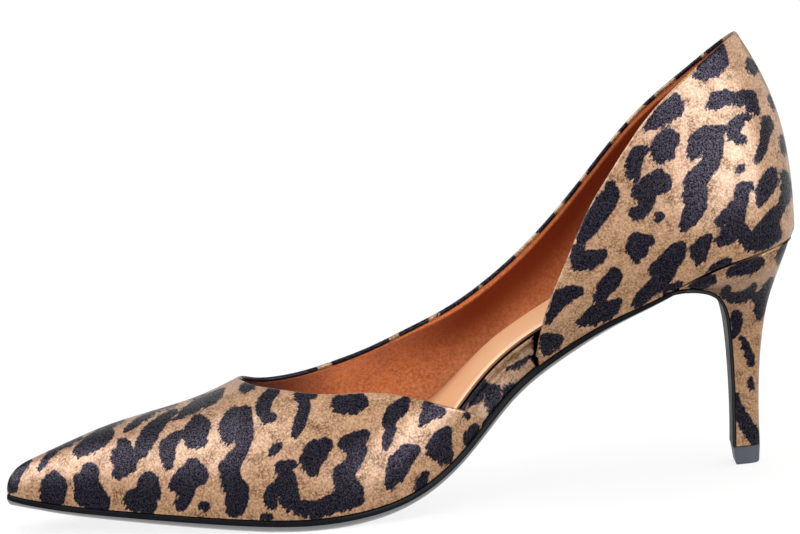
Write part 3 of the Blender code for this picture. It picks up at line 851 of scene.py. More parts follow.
wrapSpots = [
    [(507.5, 369.5, 1), (515, 366, 1.6), (523, 362, 2), (531, 357.5, 1.8)],
    [(487, 386, 2.5), (495, 391, 5), (506, 390.5, 4.5), (517, 387, 3), (526, 382, 1.2)],
    [(495, 392, 7), (492, 400, 6.5), (489, 408, 5)],
    [(482.5, 381, 3), (475, 388, 4.5), (467, 397.5, 4.5), (460, 406.5, 4)],
    [(486, 387, 4), (478, 395, 4.5), (471, 402.5, 3)],
]

# Stretches of the far topline that are dark, as photo columns from and to
rimSpots = [(241, 294), (298, 314), (335, 375), (400, 425), (440, 476), (481, 499), (503, 514),
            (537, 553), (564, 578), (586, 608), (617, 626), (630, 636), (645, 652), (675, 699), (706, 721)]

# How the print goes on: hair direction in pixels and on the shoe, copies for the far side in pixels,
# sizes in mm; facing is the cosine between a surface and the line of sight
printLay = {
    "hairPixels": (-0.55, 0.83),
    "hair": (-0.55, 0.0, -0.83),
    "farShifts": [
        (12.0, -5.0), (233.0, -140.0), (-234.0, 140.0), (-238.0, 22.0), (60.0, -150.0), (190.0, 40.0),
    ],
    "spread": 0.35,
    "clearance": 1.3,
    "blank": 12.0,
    "rimReach": 1.7,
    "rimMargin": 2,
    "nearSlack": 3.0,
    "farSlack": 2.0,
    "radiusSlack": 0.5,
    "seenFacing": 0.06,
    "plainFacing": 0.2,
    "chartFacing": (0.02, 0.2),
    "foldFacing": -0.02,
    # painted shadow line along the far fold, as dark print on its first two rows
    "foldShadow": (-2.0, -0.6),
}

# Spots drawn at random where the far side is still bare: sizes in mm, lengths and ends as shares of a radius
fillLay = {
    "seed": 7,
    "most": 400,
    "bareGap": 5.4,
    "bareFacing": 0.05,
    "radiusInGap": (0.42, 0.6),
    "radius": (2.4, 4.8),
    "length": (0.5, 1.4),
    "firstBend": (-0.7, 0.7),
    "lastBend": (-0.9, 0.9),
    "endRadius": (0.4, 0.9),
}


def chainDistance(points, chain, radii):
    # distance to a chain of round cones, and the direction away from its axis
    nearest = np.full(len(points), np.inf)
    away = np.zeros_like(points)
    for k in range(max(1, len(chain) - 1)):
        start = chain[k]
        end = chain[min(k + 1, len(chain) - 1)]
        run = end - start
        length = max(float(run @ run), 1e-9)
        t = np.clip((points - start) @ run / length, 0.0, 1.0)
        offset = points - (start + t[:, None] * run)
        far = np.linalg.norm(offset, axis=1)
        radius = radii[k] + t * (radii[min(k + 1, len(chain) - 1)] - radii[k])
        closer = far - radius < nearest
        nearest = np.where(closer, far - radius, nearest)
        away[closer] = offset[closer] / np.maximum(far[closer], 1e-6)[:, None]
    return nearest, away


class PrintField:
    # signed distance in mm from each vertex to the spots, and how ragged the nearest edge is
    def __init__(self, points, normals):
        self.points = points
        self.normals = normals
        self.pixels = toPixels(points)
        self.facing = np.einsum("ij,ij->i", normals, unit(eye - points))
        blank = printLay["blank"]
        self.flat = np.full(len(points), blank)
        self.flatTooth = np.zeros(len(points))
        self.solid = np.full(len(points), blank)
        self.solidTooth = np.zeros(len(points))
        self.placed = []

    def finder(self, seen):
        tree = kdtree.KDTree(len(seen))
        for i in seen:
            tree.insert((*self.pixels[i], 0.0), int(i))
        tree.balance()
        return tree

    def addFlat(self, spots):
        hair = np.array(printLay["hairPixels"])
        reach = printLay["blank"] / photoView["mmPerPixel"]
        for spot in spots:
            rows = np.array(spot, dtype=float)
            low = (rows[:, :2] - rows[:, 2:]).min(0) - reach
            high = (rows[:, :2] + rows[:, 2:]).max(0) + reach
            near = np.flatnonzero(np.all((self.pixels > low) & (self.pixels < high), axis=1))
            gap, away = chainDistance(self.pixels[near], rows[:, :2], rows[:, 2])
            gap = gap * photoView["mmPerPixel"]
            better = gap < self.flat[near]
            self.flat[near[better]] = gap[better]
            self.flatTooth[near[better]] = np.clip(away[better] @ hair, 0.0, 1.0)

    def addSolid(self, chain, radii):
        hair = np.array(printLay["hair"])
        low = chain.min(0) - radii.max() - printLay["blank"]
        high = chain.max(0) + radii.max() + printLay["blank"]
        near = np.flatnonzero(np.all((self.points > low) & (self.points < high), axis=1))
        gap, away = chainDistance(self.points[near], chain, radii)
        better = gap < self.solid[near]
        self.solid[near[better]] = gap[better]
        self.solidTooth[near[better]] = np.clip(away[better] @ hair, 0.0, 1.0)

    def lift(self, spots, shift, tree, slack):
        # chains of points on the surface under the pixels of the chart
        chains = []
        for spot in spots:
            chain = []
            radii = []
            for x, y, radius in spot:
                found, index, gap = tree.find((x + shift[0], y + shift[1], 0.0))
                if index is not None and gap <= slack + printLay["radiusSlack"] * radius:
                    chain.append(self.points[index])
                    radii.append(radius * photoView["mmPerPixel"])
            if chain:
                chains.append((np.array(chain), np.array(radii), len(chain) == len(spot)))
        return chains

    def clear(self, chain, radii):
        for otherChain, otherRadii in self.placed:
            gaps = np.linalg.norm(chain[:, None] - otherChain[None], axis=2)
            if np.any(gaps - radii[:, None] - otherRadii[None] < printLay["clearance"]):
                return False
        return True

    def cover(self, spots):
        # near side as charted, then shifted copies of the chart on the far side
        self.addFlat(spots)
        seen = np.flatnonzero(self.facing > printLay["seenFacing"])
        hidden = np.flatnonzero(self.facing < -printLay["seenFacing"])
        nearTree = self.finder(seen)
        for chain, radii, whole in self.lift(spots, (0.0, 0.0), nearTree, printLay["nearSlack"]):
            self.addSolid(chain, radii)
        farTree = self.finder(hidden)
        plain = self.facing > printLay["plainFacing"]
        for shift in printLay["farShifts"]:
            for chain, radii, whole in self.lift(spots, shift, farTree, printLay["farSlack"]):
                if not whole or not self.clear(chain, radii):
                    continue
                gap, away = chainDistance(self.points[plain], chain, radii)
                if gap.min() < printLay["clearance"]:
                    continue
                near = np.array([self.solid[np.argmin(((self.points - p) ** 2).sum(1))] for p in chain])
                if np.any(near - radii < printLay["clearance"]):
                    continue
                self.placed.append((chain, radii))
                self.addSolid(chain, radii)

    def fill(self, allowed):
        # bent spots in what is still bare, largest gap first
        draw = np.random.default_rng(fillLay["seed"])
        hair = np.array(printLay["hair"])
        for count in range(fillLay["most"]):
            gap = np.where(allowed, self.solid, 0.0)
            best = int(np.argmax(gap))
            if gap[best] < fillLay["bareGap"]:
                return count
            radius = min(gap[best] * draw.uniform(*fillLay["radiusInGap"]), draw.uniform(*fillLay["radius"]))
            length = radius * draw.uniform(*fillLay["length"])
            middle = self.points[best]
            aside = np.cross(self.normals[best], hair)
            chain = np.array([
                middle - hair * length + aside * length * draw.uniform(*fillLay["firstBend"]),
                middle,
                middle + hair * length + aside * length * draw.uniform(*fillLay["lastBend"])])
            ends = [draw.uniform(*fillLay["endRadius"]) for end in range(2)]
            self.addSolid(chain, radius * np.array([ends[0], 1.0, ends[1]]))
            self.solid[best] = min(self.solid[best], 0.0)
        return fillLay["most"]

    def result(self):
        share = smoothStep(*printLay["chartFacing"], self.facing)
        spot = self.solid * (1.0 - share) + self.flat * share
        tooth = self.solidTooth * (1.0 - share) + self.flatTooth * share
        return spot - printLay["spread"], tooth


def storeValues(piece, name, values):
    layer = piece.data.attributes.new(name, "FLOAT", "POINT")
    layer.data.foreach_set("value", np.asarray(values, dtype=np.float32))


def storePrint(piece, spot, tooth):
    storeValues(piece, "spot", spot)
    storeValues(piece, "tooth", tooth)


# Upper: one wall with a turned satin edge above the lining
upperCut = {
    "wall": 1.3,
    "toeWall": 0.9,
    "turnedEdge": 0.4,
    "liningStep": 0.35,
    "vampRibs": 110,
    "outerRibs": 240,
    "tailRibs": 120,
    "quarterRibs": 112,
    "outerRows": 52,
    "liningRows": 28,
    "edgeRows": 3,
    "rimSteps": 8,
    "quarterEase": 0.55,
    "liningEase": 1.7,
    "shareStep": 0.01,
    "leastCrossing": 0.4,
    "rimFrom": (0.5, 9.0),
    "leastOuter": 0.3,
    "leastLining": 0.15,
    "toeRibs": (5.0, 40.0),
    "cupFrom": (70.0, 90.0),
    "cupTuck": 0.7,
    "cupHeight": 2.6,
}


def upperRibs():
    # ribs in one strip: quarter, heel, outer side, toe, inner side of the vamp; open ones first and last
    vampTurns = np.linspace(0.0, math.pi / 2, upperCut["vampRibs"] + 1)
    tailTurns = np.linspace(0.0, openTurn(last["vampEndX"]), upperCut["tailRibs"] + 1)[1:]
    even = np.linspace(0.0, 1.0, upperCut["quarterRibs"] + 1)
    ease = upperCut["quarterEase"] * even + (1.0 - upperCut["quarterEase"]) * even ** 2
    start = openTurn(last["quarterStartX"])
    quarterTurns = start + (math.pi - start) * ease
    outerTurns = np.linspace(math.pi, 0.0, upperCut["outerRibs"] + 1)[1:]
    handles = []
    shares = []

    def addRibs(turns, ribX, side, shareOf):
        for turn in turns:
            footX, topX = ribX(turn)
            handles.append(ribHandles(footX, topX, side))
            shares.append(shareOf(footX, side))
        return len(handles) - 1

    addRibs(quarterTurns, openRibX, inner, lambda footX, side: quarterShare(handles[-1]))
    farThroat = addRibs(outerTurns, openRibX, outer, toplineShare)
    toe = addRibs(vampTurns[-2::-1], vampRibX, outer, lambda footX, side: 1.0)
    nearThroat = addRibs(vampTurns[1:], vampRibX, inner, lambda footX, side: 1.0)
    addRibs(tailTurns, openRibX, inner, toplineShare)
    return np.array(handles), np.array(shares), farThroat, toe, nearThroat


# Painted light and shade on the lining: a painted highlight at the lip, painted shade under it that gives
# way further down and fades out towards the toe, and painted shade towards the throat; in mm below the edge
# and along x
liningShadeLay = {
    "litLip": (1.0, 3.0),
    "flat": (6.0, 24.0),
    "along": (-30.0, 25.0),
    "throat": (-41.0, -10.0),
}


# per vertex: 0 is painted shade, 1 the lining's own colours, above 1 a painted highlight at the lip
def storeLiningLight(piece, back, start, total):
    run = np.linalg.norm(np.diff(back, axis=1), axis=2)
    below = np.concatenate([np.cumsum(run[:, ::-1], axis=1)[:, ::-1], np.zeros((len(run), 1))], axis=1)
    liningLight = np.maximum(1.0 - smoothStep(*liningShadeLay["litLip"], below), smoothStep(*liningShadeLay["flat"], below))
    liningLight = 1.0 - smoothStep(*liningShadeLay["along"], back[:, :, 0]) * (1.0 - liningLight)
    liningLight = np.minimum(liningLight, smoothStep(*liningShadeLay["throat"], back[:, :, 0]))
    liningLight += 1.0 - smoothStep(*liningShadeLay["litLip"], below)
    values = np.ones(total)
    values[start:start + liningLight.size] = liningLight.ravel()
    storeValues(piece, "liningLight", values)


def buildUpper(satinPaint, suedePaint):
    handles, shares, farThroat, toe, nearThroat = upperRibs()
    count = len(handles)
    edgeRibs = np.r_[0:farThroat + 1, nearThroat + 1:count]
    radius = upperCut["wall"] / 2

    # how far a rib is cut back for the rounded rim and for the turned edge
    tops = np.array([ribPoints(h, np.array([s]))[0] for h, s in zip(handles, shares)])
    lower = np.maximum(shares - upperCut["shareStep"], 0.0)
    below = np.array([ribPoints(h, np.array([s]))[0] for h, s in zip(handles, lower)])
    speed = np.linalg.norm(tops - below, axis=1) / np.maximum(shares - lower, 1e-6)
    along = unit(np.gradient(tops[edgeRibs], axis=0))
    upRib = unit(tops[edgeRibs] - below[edgeRibs])
    crossing = np.clip(np.linalg.norm(np.cross(along, upRib), axis=1), upperCut["leastCrossing"], 1.0)
    fromThroat = np.linalg.norm(tops[edgeRibs] - tops[farThroat], axis=1)
    grow = smoothStep(*upperCut["rimFrom"], fromThroat)
    perMm = np.zeros(count)
    perMm[edgeRibs] = grow / (np.maximum(speed[edgeRibs], 1e-3) * crossing)
    outerShare = np.maximum(shares - radius * perMm, upperCut["leastOuter"] * shares)
    liningShare = np.maximum(outerShare - upperCut["turnedEdge"] * perMm, upperCut["leastLining"] * shares)

    rows = upperCut["outerRows"]
    steps = np.linspace(0.0, 1.0, rows + 1)
    skin = np.array([ribPoints(h, s * steps) for h, s in zip(handles, outerShare)])
    # the heel cup turns in just above the seat
    feet = handles[:, 0]
    into = np.array([inward(foot[0], inner if k <= upperCut["quarterRibs"] else math.copysign(1, foot[1]))
                     for k, foot in enumerate(feet)])
    rise = np.clip((skin[:, :, 2] - feet[:, None, 2]) / upperCut["cupHeight"], 0.0, 1.0)
    tuck = upperCut["cupTuck"] * (1.0 - rise) ** 2 * smoothStep(*upperCut["cupFrom"], feet[:, None, 0])
    skin = skin + into[:, None] * tuck[:, :, None]
    skinNormal = gridNormals(skin)
    for k in range(toe - farThroat + 1):
        shared = unit(skinNormal[farThroat + k, -1] + skinNormal[nearThroat - k, -1])
        skinNormal[farThroat + k, -1] = shared
        skinNormal[nearThroat - k, -1] = shared

    liningSteps = 1.0 - np.linspace(1.0, 0.0, upperCut["liningRows"] + 1) ** upperCut["liningEase"]
    edgeSteps = np.linspace(0.0, 1.0, upperCut["edgeRows"] + 1)
    innerShare = np.concatenate([
        liningShare[:, None] * liningSteps,
        liningShare[:, None] + (outerShare - liningShare)[:, None] * edgeSteps,
    ], axis=1)
    back = np.array([ribPoints(h, s) for h, s in zip(handles, innerShare)])
    # normals of the back come from the skin, read at the same share of the rib
    backNormal = np.empty_like(back)
    for i in range(count):
        at = innerShare[i] / max(outerShare[i], 1e-6) * rows
        for axis in range(3):
            backNormal[i, :, axis] = np.interp(at, np.arange(rows + 1), skinNormal[i, :, axis])
    backNormal = unit(backNormal)
    fromToe = np.abs(np.arange(count) - toe)
    thicker = smoothStep(*upperCut["toeRibs"], fromToe)
    wall = upperCut["toeWall"] + (upperCut["wall"] - upperCut["toeWall"]) * thicker
    depth = np.repeat(wall[:, None], back.shape[1], axis=1)
    isLining = np.arange(back.shape[1]) <= upperCut["liningRows"]
    closeToEdge = np.zeros_like(depth)
    closeToEdge[edgeRibs] = grow[:, None]
    depth[:, isLining] -= upperCut["liningStep"] * closeToEdge[:, isLining]
    back = back - backNormal * depth[:, :, None]

    # vertices: skin, back and rim, with the ridge shared by both sides of the vamp
    points = [skin.reshape(-1, 3), back.reshape(-1, 3)]
    skinIndex = np.arange(count * (rows + 1)).reshape(count, rows + 1)
    backRows = back.shape[1]
    backIndex = count * (rows + 1) + np.arange(count * backRows).reshape(count, backRows)
    for k in range(1, nearThroat - toe + 1):
        skinIndex[toe + k, -1] = skinIndex[toe - k, -1]
        backIndex[toe + k, -1] = backIndex[toe - k, -1]

    edgePoints = skin[edgeRibs, -1]
    edgeNormal = skinNormal[edgeRibs, -1]
    edgeAlong = unit(np.gradient(edgePoints, axis=0))
    outOfEdge = unit(np.cross(edgeNormal, edgeAlong))
    rimTurns = np.linspace(0.0, math.pi, upperCut["rimSteps"] + 1)[1:-1]
    half = wall[edgeRibs][:, None, None] / 2
    middle = edgePoints[:, None] - edgeNormal[:, None] * half
    rim = middle + half * (edgeNormal[:, None] * np.cos(rimTurns)[None, :, None]
                           + outOfEdge[:, None] * np.sin(rimTurns)[None, :, None])
    rimBase = skinIndex.size + backIndex.size
    rimIndex = rimBase + np.arange(rim.shape[0] * rim.shape[1]).reshape(rim.shape[:2])
    points.append(rim.reshape(-1, 3))
    points = np.concatenate(points)
    rimGrid = np.concatenate([skinIndex[edgeRibs, -1:], rimIndex, backIndex[edgeRibs, -1:]], axis=1)

    liningRow = upperCut["liningRows"]
    groups = [
        (gridFaces(skinIndex), 0),
        (gridFaces(backIndex[:, :liningRow + 1], flip=True), 1),
        (gridFaces(backIndex[:, liningRow:], flip=True), 0),
        (gridFaces(np.stack([backIndex[:, 0], skinIndex[:, 0]], axis=1)), 0),
        (gridFaces(rimGrid), 0),
    ]
    for rib, flip in ((0, 1), (count - 1, -1)):
        edgeRow = 0 if rib == 0 else len(edgeRibs) - 1
        loop = [*skinIndex[rib], *rimIndex[edgeRow], *backIndex[rib, ::-1]]
        groups.append(([tuple(int(v) for v in loop[::flip])], 0))
    faces = []
    slots = []
    for part, slot in groups:
        faces += part
        slots += [slot] * len(part)
    piece = turnOut(meshPiece("upper", points, faces, [satinPaint, suedePaint], slots), merge=False)

    rimNormal = unit(rim - middle)
    printed = np.concatenate([skin.reshape(-1, 3), rim.reshape(-1, 3), back[:, liningRow:].reshape(-1, 3)])
    printedNormal = np.concatenate([
        skinNormal.reshape(-1, 3), rimNormal.reshape(-1, 3), -backNormal[:, liningRow:].reshape(-1, 3)])
    field = PrintField(printed, printedNormal)
    # the folded edge inside takes the colours of the spots that reach the rim
    folded = np.zeros(len(printed), dtype=bool)
    folded[skinIndex.size + rimIndex.size:] = True
    rimSpan = slice(skinIndex.size, skinIndex.size + rimIndex.size)
    farRim = np.zeros(rimIndex.shape, dtype=bool)
    farRim[:farThroat + 1] = rim[:farThroat + 1, :, 1] > ridgeY(last["throatX"])
    folded[rimSpan] = farRim.ravel()
    field.facing[folded] = printLay["foldFacing"]
    field.cover(vampSpots + quarterSpots)
    crest = rim[:farThroat + 1, rim.shape[1] // 2]
    crest = crest[crest[:, 1] > ridgeY(last["throatX"])]
    crestColumn = toPixels(crest)[:, 0]
    for first, final in rimSpots:
        margin = printLay["rimMargin"]
        chain = crest[(crestColumn >= first + margin) & (crestColumn <= final - margin)]
        if len(chain):
            field.addSolid(chain, np.full(len(chain), printLay["rimReach"]))
    filled = field.fill((field.facing < fillLay["bareFacing"]) & ~folded)
    spot, tooth = field.result()
    # painted shadow: the far fold's first two rows, beside the lining, are forced dark as a shadow line
    # under the rim
    foldSpotAndShadow = spot[skinIndex.size + rimIndex.size:].reshape(count, -1)
    farRibs = back[:, liningRow, 1] > ridgeY(last["throatX"])
    farRibs[farThroat + 1:] = False
    foldSpotAndShadow[farRibs, :2] = np.minimum(foldSpotAndShadow[farRibs, :2], printLay["foldShadow"])
    allSpot = np.full(len(points), printLay["blank"])
    allTooth = np.zeros(len(points))
    order = np.concatenate([
        np.arange(skinIndex.size), rimIndex.ravel(),
        (count * (rows + 1) + np.arange(count * backRows).reshape(count, backRows)[:, liningRow:]).ravel()])
    allSpot[order] = spot
    allTooth[order] = tooth
    storePrint(piece, allSpot, allTooth)
    # painted light and shade on the lining
    storeLiningLight(piece, back, count * (rows + 1), len(points))
    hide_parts("upper")
    print("upper:", len(points), "points,", len(field.placed), "far spots,", filled, "small ones")
    return piece


# Foot bed: directions and edges shared by outsole, insole and sock
bedShape = {"bluntTip": 2.5, "tipStep": 0.25, "edgeSteps": 480, "narrowPerMm": 0.25, "profileShare": 0.85}


def bedUp(x):
    x = min(heelX - slopeStep, max(toeX + slopeStep, x))
    return unit(np.array([-float(slopeAt(featherZ, x)), 0.0, 1.0]))


def loft(loops):
    # closed body through loops with equal counts of points, ends closed by one face each
    index = np.arange(len(loops) * len(loops[0])).reshape(len(loops), len(loops[0]))
    ring = np.concatenate([index, index[:, :1]], axis=1)
    faces = gridFaces(ring)
    faces.append(tuple(index[0, ::-1].tolist()))
    faces.append(tuple(index[-1].tolist()))
    return np.array(loops).reshape(-1, 3), faces


def turnOut(piece, merge=True):
    # faces look outwards, and points in the same place become one
    work = bmesh.new()
    work.from_mesh(piece.data)
    if merge:
        bmesh.ops.remove_doubles(work, verts=work.verts, dist=mergeWithin * mm)
    bmesh.ops.recalc_face_normals(work, faces=work.faces)
    if work.calc_volume(signed=True) < 0.0:
        bmesh.ops.reverse_faces(work, faces=work.faces)
    work.to_mesh(piece.data)
    work.free()
    return piece


def between(first, final, steps):
    # points spaced evenly between two, without the two
    return [first + (final - first) * k / steps for k in range(1, steps)]


def layerEdge(side, inset):
    xs = []
    ys = []
    for turn in np.linspace(0.0, math.pi, bedShape["edgeSteps"] + 1):
        x = -heelX * math.cos(turn)
        point = featherPoint(x, side) + inward(x, side) * inset
        if not xs or point[0] > xs[-1]:
            xs.append(point[0])
            ys.append(point[1])
    return np.array(xs), np.array(ys)


def bedLayer(inset, setback, recess, bottomOf, topOf, edgeProfile, strips, acrossSteps):
    # layer of the foot bed; edgeProfile gives (down from the top, in from the edge) rows
    edges = {inner: layerEdge(inner, inset + setback), outer: layerEdge(outer, inset)}
    end = min(edges[inner][0][-1], edges[outer][0][-1])
    start = toeX + inset
    while np.interp(start, *edges[outer]) - np.interp(start, *edges[inner]) < bedShape["bluntTip"]:
        start += bedShape["tipStep"]
    loops = []
    for turn in np.linspace(0.0, math.pi, strips + 1):
        x = (start + end) / 2 - (end - start) / 2 * math.cos(turn)
        up = bedUp(x)
        middle = np.array([x, 0.0, float(featherZ(x))])
        near = float(np.interp(x, *edges[inner]))
        far = float(np.interp(x, *edges[outer]))
        narrow = min(1.0, bedShape["narrowPerMm"] * (far - near))
        rows = {}
        for side in (inner, outer):
            top = topOf(x, side)
            thick = top - bottomOf(x, side)
            low = narrow * min(1.0, bedShape["profileShare"] * thick / edgeProfile[0][0])
            rows[side] = [(a * narrow, top - d * low) for d, a in edgeProfile]
        nearSide = [(near, bottomOf(x, inner))] + [(near + a, h) for a, h in rows[inner]]
        nearSide = [(y + recess(x + up[0] * h), h) for y, h in nearSide]
        farSide = [(far - a, h) for a, h in rows[outer][::-1]] + [(far, bottomOf(x, outer))]
        loop = [np.array(row) for row in nearSide]
        loop += between(loop[-1], np.array(farSide[0]), acrossSteps)
        loop += [np.array(row) for row in farSide]
        loop += between(loop[-1], loop[0], acrossSteps)
        loops.append([middle + up * h + np.array([0.0, y, 0.0]) for y, h in loop])
    return loft(loops)


# Insole board with satin wrapped over its edge, which shows in the low cut; painted shade darkens the
# wrapped satin, and the pocket behind the quarter is painted black as shade
insoleWrap = {
    "inset": 2.1,
    "bead": 0.75,
    "tuck": 6.0,
    "tuckX": (38.9, 39.5, 42.5, 48.0),
    "pocketShadeMargin": 0.05,
    "wall": [(4.2, 0.0), (3.6, 0.12), (3.0, 0.3), (2.4, 0.42), (1.8, 0.4)],
    "beadTurns": (-0.7, 2.6),
    "beadRows": 12,
    "groove": [(1.05, 2.3), (0.8, 3.0)],
    "strips": 520,
    "across": 24,
}


def tuckBehindQuarter(x):
    # the wrapped edge dives in behind the front of the quarter and comes back out of sight
    start, full, leave, end = insoleWrap["tuckX"]
    return insoleWrap["tuck"] * float(smoothStep(start, full, x) * (1.0 - smoothStep(leave, end, x)))


def buildInsole(paint):
    # a piped bead along the wrapped corner, over a hollow wall, with a groove behind it
    size = insoleWrap["bead"]
    profile = list(insoleWrap["wall"])
    for turn in np.linspace(*insoleWrap["beadTurns"], insoleWrap["beadRows"]):
        profile.append((size - size * math.sin(turn), size - size * math.cos(turn)))
    profile += [(down * size, back * size) for down, back in insoleWrap["groove"]]
    points, faces = bedLayer(
        insoleWrap["inset"], 0.0, tuckBehindQuarter, lambda x, side: last["seatGap"],
        lambda x, side: last["seatGap"] + float(insoleThickness[side](x)), profile,
        insoleWrap["strips"], insoleWrap["across"])
    piece = turnOut(meshPiece("insole", points, faces, [paint]))
    # the pocket behind the quarter is painted dark as shade
    pocketShadeX = (insoleWrap["tuckX"][0] + insoleWrap["pocketShadeMargin"], insoleWrap["tuckX"][3])
    placePrint(piece, wrapSpots, False, pocketShadeX)
    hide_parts("insole")
    print("insole:", len(piece.data.vertices), "points")
    return piece


def placePrint(piece, spots, fillFar, pocketShadeX=None):
    mesh = piece.data
    points = np.empty(len(mesh.vertices) * 3)
    mesh.vertices.foreach_get("co", points)
    normals = np.empty(len(mesh.vertices) * 3)
    mesh.vertex_normals.foreach_get("vector", normals)
    field = PrintField(points.reshape(-1, 3) / mm, normals.reshape(-1, 3))
    field.cover(spots)
    if fillFar:
        field.fill(field.facing < 0.0)
    spot, tooth = field.result()
    # painted shade: the pocket behind the front of the quarter is painted fully dark, as a spot
    if pocketShadeX:
        inPocketShade = (field.points[:, 0] > pocketShadeX[0]) & (field.points[:, 0] < pocketShadeX[1])
        spot[inPocketShade] = -printLay["blank"]
    storePrint(piece, spot, tooth)


# Leather sock glued on the insole, a little short of its inner edge
sockCut = {
    "inset": 2.1,
    "setback": 2.6,
    "thickness": 1.2,
    "cutEdge": 0.7,
    "cutRound": 0.08,
    "cutLean": 0.45,
    "skive": 1.6,
    "skiveRows": 6,
    "strips": 300,
    "across": 30,
}


def buildSock(paint, edgePaint):
    # thinned towards the edge, so that only a narrow cut shows
    drop = sockCut["thickness"] - sockCut["cutEdge"]
    profile = [(drop + sockCut["cutRound"], 0.0), (drop, sockCut["cutRound"])]
    for share in np.linspace(0.0, 1.0, sockCut["skiveRows"] + 1)[1:]:
        profile.append((drop * (1.0 - math.sin(share * math.pi / 2)), sockCut["skive"] * share))
    base = 2 * last["seatGap"]
    points, faces = bedLayer(
        sockCut["inset"], sockCut["setback"], lambda x: 0.0,
        lambda x, side: base + float(insoleThickness[side](x)),
        lambda x, side: base + float(insoleThickness[side](x)) + sockCut["thickness"],
        profile, sockCut["strips"], sockCut["across"])
    piece = turnOut(meshPiece("sock", points, faces, [paint, edgePaint]))
    for face in piece.data.polygons:
        face.material_index = 1 if face.normal.z < sockCut["cutLean"] else 0
    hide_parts("sock")
    print("sock:", len(piece.data.vertices), "points")
    return piece


# Outsole with its burnished edge, bevelled underneath, and the flap down the heel breast
soleCut = {
    "overhang": 0.5,
    "edgeFlat": 1.05,
    "bevel": 3.6,
    "flapBevel": 0.3,
    "flapThickness": 0.8,
    "cornerRound": 0.25,
    "cornerEase": 0.3,
    "leastFlat": 0.5,
    "bevelRows": 8,
    "bevelPerWidth": 0.25,
    "strips": 300,
    "flapStrips": 90,
    "flapEase": 4,
    "flapThinning": 4.0,
    "breastGap": 1.0,
    "toeRound": 1.2,
    "toeThin": 0.45,
    "toeOverhang": 0.1,
    "toeReach": 8.0,
    "slopeStep": 0.2,
    "across": 14,
}


def breastRows(steps, skip=0.0):
    run = runAlong(breastLine)
    xOf = spline(run, breastLine["x"])
    zOf = spline(run, breastLine["z"])
    widthOf = spline(run, breastLine["halfWidth"])
    rows = []
    step = soleCut["slopeStep"]
    for s in np.linspace(skip, run[-1], steps + 1):
        along = unit(np.array([xOf(s + step) - xOf(s - step), 0.0, zOf(s + step) - zOf(s - step)]))
        front = np.array([along[2], 0.0, -along[0]])
        rows.append((np.array([xOf(s), 0.0, zOf(s)]), front, float(widthOf(s))))
    return rows


def soleLoop(near, far, nearIn, farIn, nearDown, farDown, thick, bevel):
    # top corner, upright edge, then a rounded bevel under the sole; nothing goes below the floor
    flat = min(soleCut["edgeFlat"], soleCut["leastFlat"] * thick)
    corner = soleCut["cornerRound"]
    eased = soleCut["cornerEase"] * corner
    sides = []
    for rail, level, down in ((near, nearIn, nearDown), (far, farIn, farDown)):
        side = [
            rail + level * corner,
            rail + level * eased + down * eased,
            rail + down * corner,
            rail + down * flat,
        ]
        for share in np.linspace(0.0, 1.0, soleCut["bevelRows"] + 1)[1:]:
            drop = flat + (thick - flat) * math.sin(share * math.pi / 2)
            tuck = bevel * (1.0 - math.cos(share * math.pi / 2))
            side.append(rail + down * drop + level * tuck)
        sides.append(side)
    under = between(sides[0][-1], sides[1][-1], soleCut["across"])
    over = between(sides[1][0], sides[0][0], soleCut["across"])
    loop = sides[0] + under + sides[1][::-1] + over
    for point in loop:
        point[2] = max(0.0, point[2])
    return loop


def buildOutsole(edgePaint, underPaint, flapPaint):
    sections = []
    for turn in np.linspace(0.0, math.pi, soleCut["strips"] + 1):
        x = -heelX * math.cos(turn)
        if x > breastLine["x"][0] - soleCut["breastGap"]:
            break
        rails = []
        overhang = soleCut["toeOverhang"]
        overhang += (soleCut["overhang"] - overhang) * float(smoothStep(0.0, soleCut["toeReach"], x - toeX))
        for side in (inner, outer):
            rail = featherPoint(x, side) - inward(x, side) * overhang
            rail[2] = float(featherZ(min(heelX, max(toeX, rail[0]))))
            rails.append(rail)
        bevel = min(soleCut["bevel"], soleCut["bevelPerWidth"] * (rails[1][1] - rails[0][1]))
        short = max(0.0, 1.0 - (x - toeX) / soleCut["toeRound"])
        rounded = soleCut["toeThin"] + (1.0 - soleCut["toeThin"]) * math.sqrt(1.0 - short ** 2)
        sections.append(soleLoop(
            rails[0], rails[1], inward(x, inner), inward(x, outer), -bedUp(rails[0][0]), -bedUp(rails[1][0]),
            float(outsoleThickness(x)) * rounded, bevel))
    level = np.array([0.0, 1.0, 0.0])
    for k, (middle, front, halfWidth) in enumerate(breastRows(soleCut["flapStrips"])):
        ease = max(0.0, 1.0 - soleCut["flapThinning"] * k / soleCut["flapStrips"])
        bevel = soleCut["flapBevel"] + (soleCut["bevel"] - soleCut["flapBevel"]) * ease ** 2
        thick = soleCut["flapThickness"] + (bedThickness["outsole"][-1] - soleCut["flapThickness"]) * ease
        aside = level * halfWidth
        sections.append(soleLoop(middle - aside, middle + aside, level, -level, front, front, thick, bevel))
    points, faces = loft(sections)
    # edge rows of a section stay dull, the bevel and underside are polished
    perRing = len(sections[0])
    uprightRows = 4
    edgeRows = set(range(uprightRows)) | set(range(perRing - soleCut["across"] - uprightRows, perRing))
    flapStart = perRing * (len(sections) - soleCut["flapStrips"] + soleCut["flapEase"])
    slots = [0 if k % perRing in edgeRows else 1 for k in range(len(faces) - 2)] + [0, 2]
    slots[flapStart:-2] = [2] * len(slots[flapStart:-2])
    piece = turnOut(meshPiece("outsole", points, faces, [edgePaint, underPaint, flapPaint], slots))
    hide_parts("outsole")
    print("outsole:", len(piece.data.vertices), "points")
    return piece


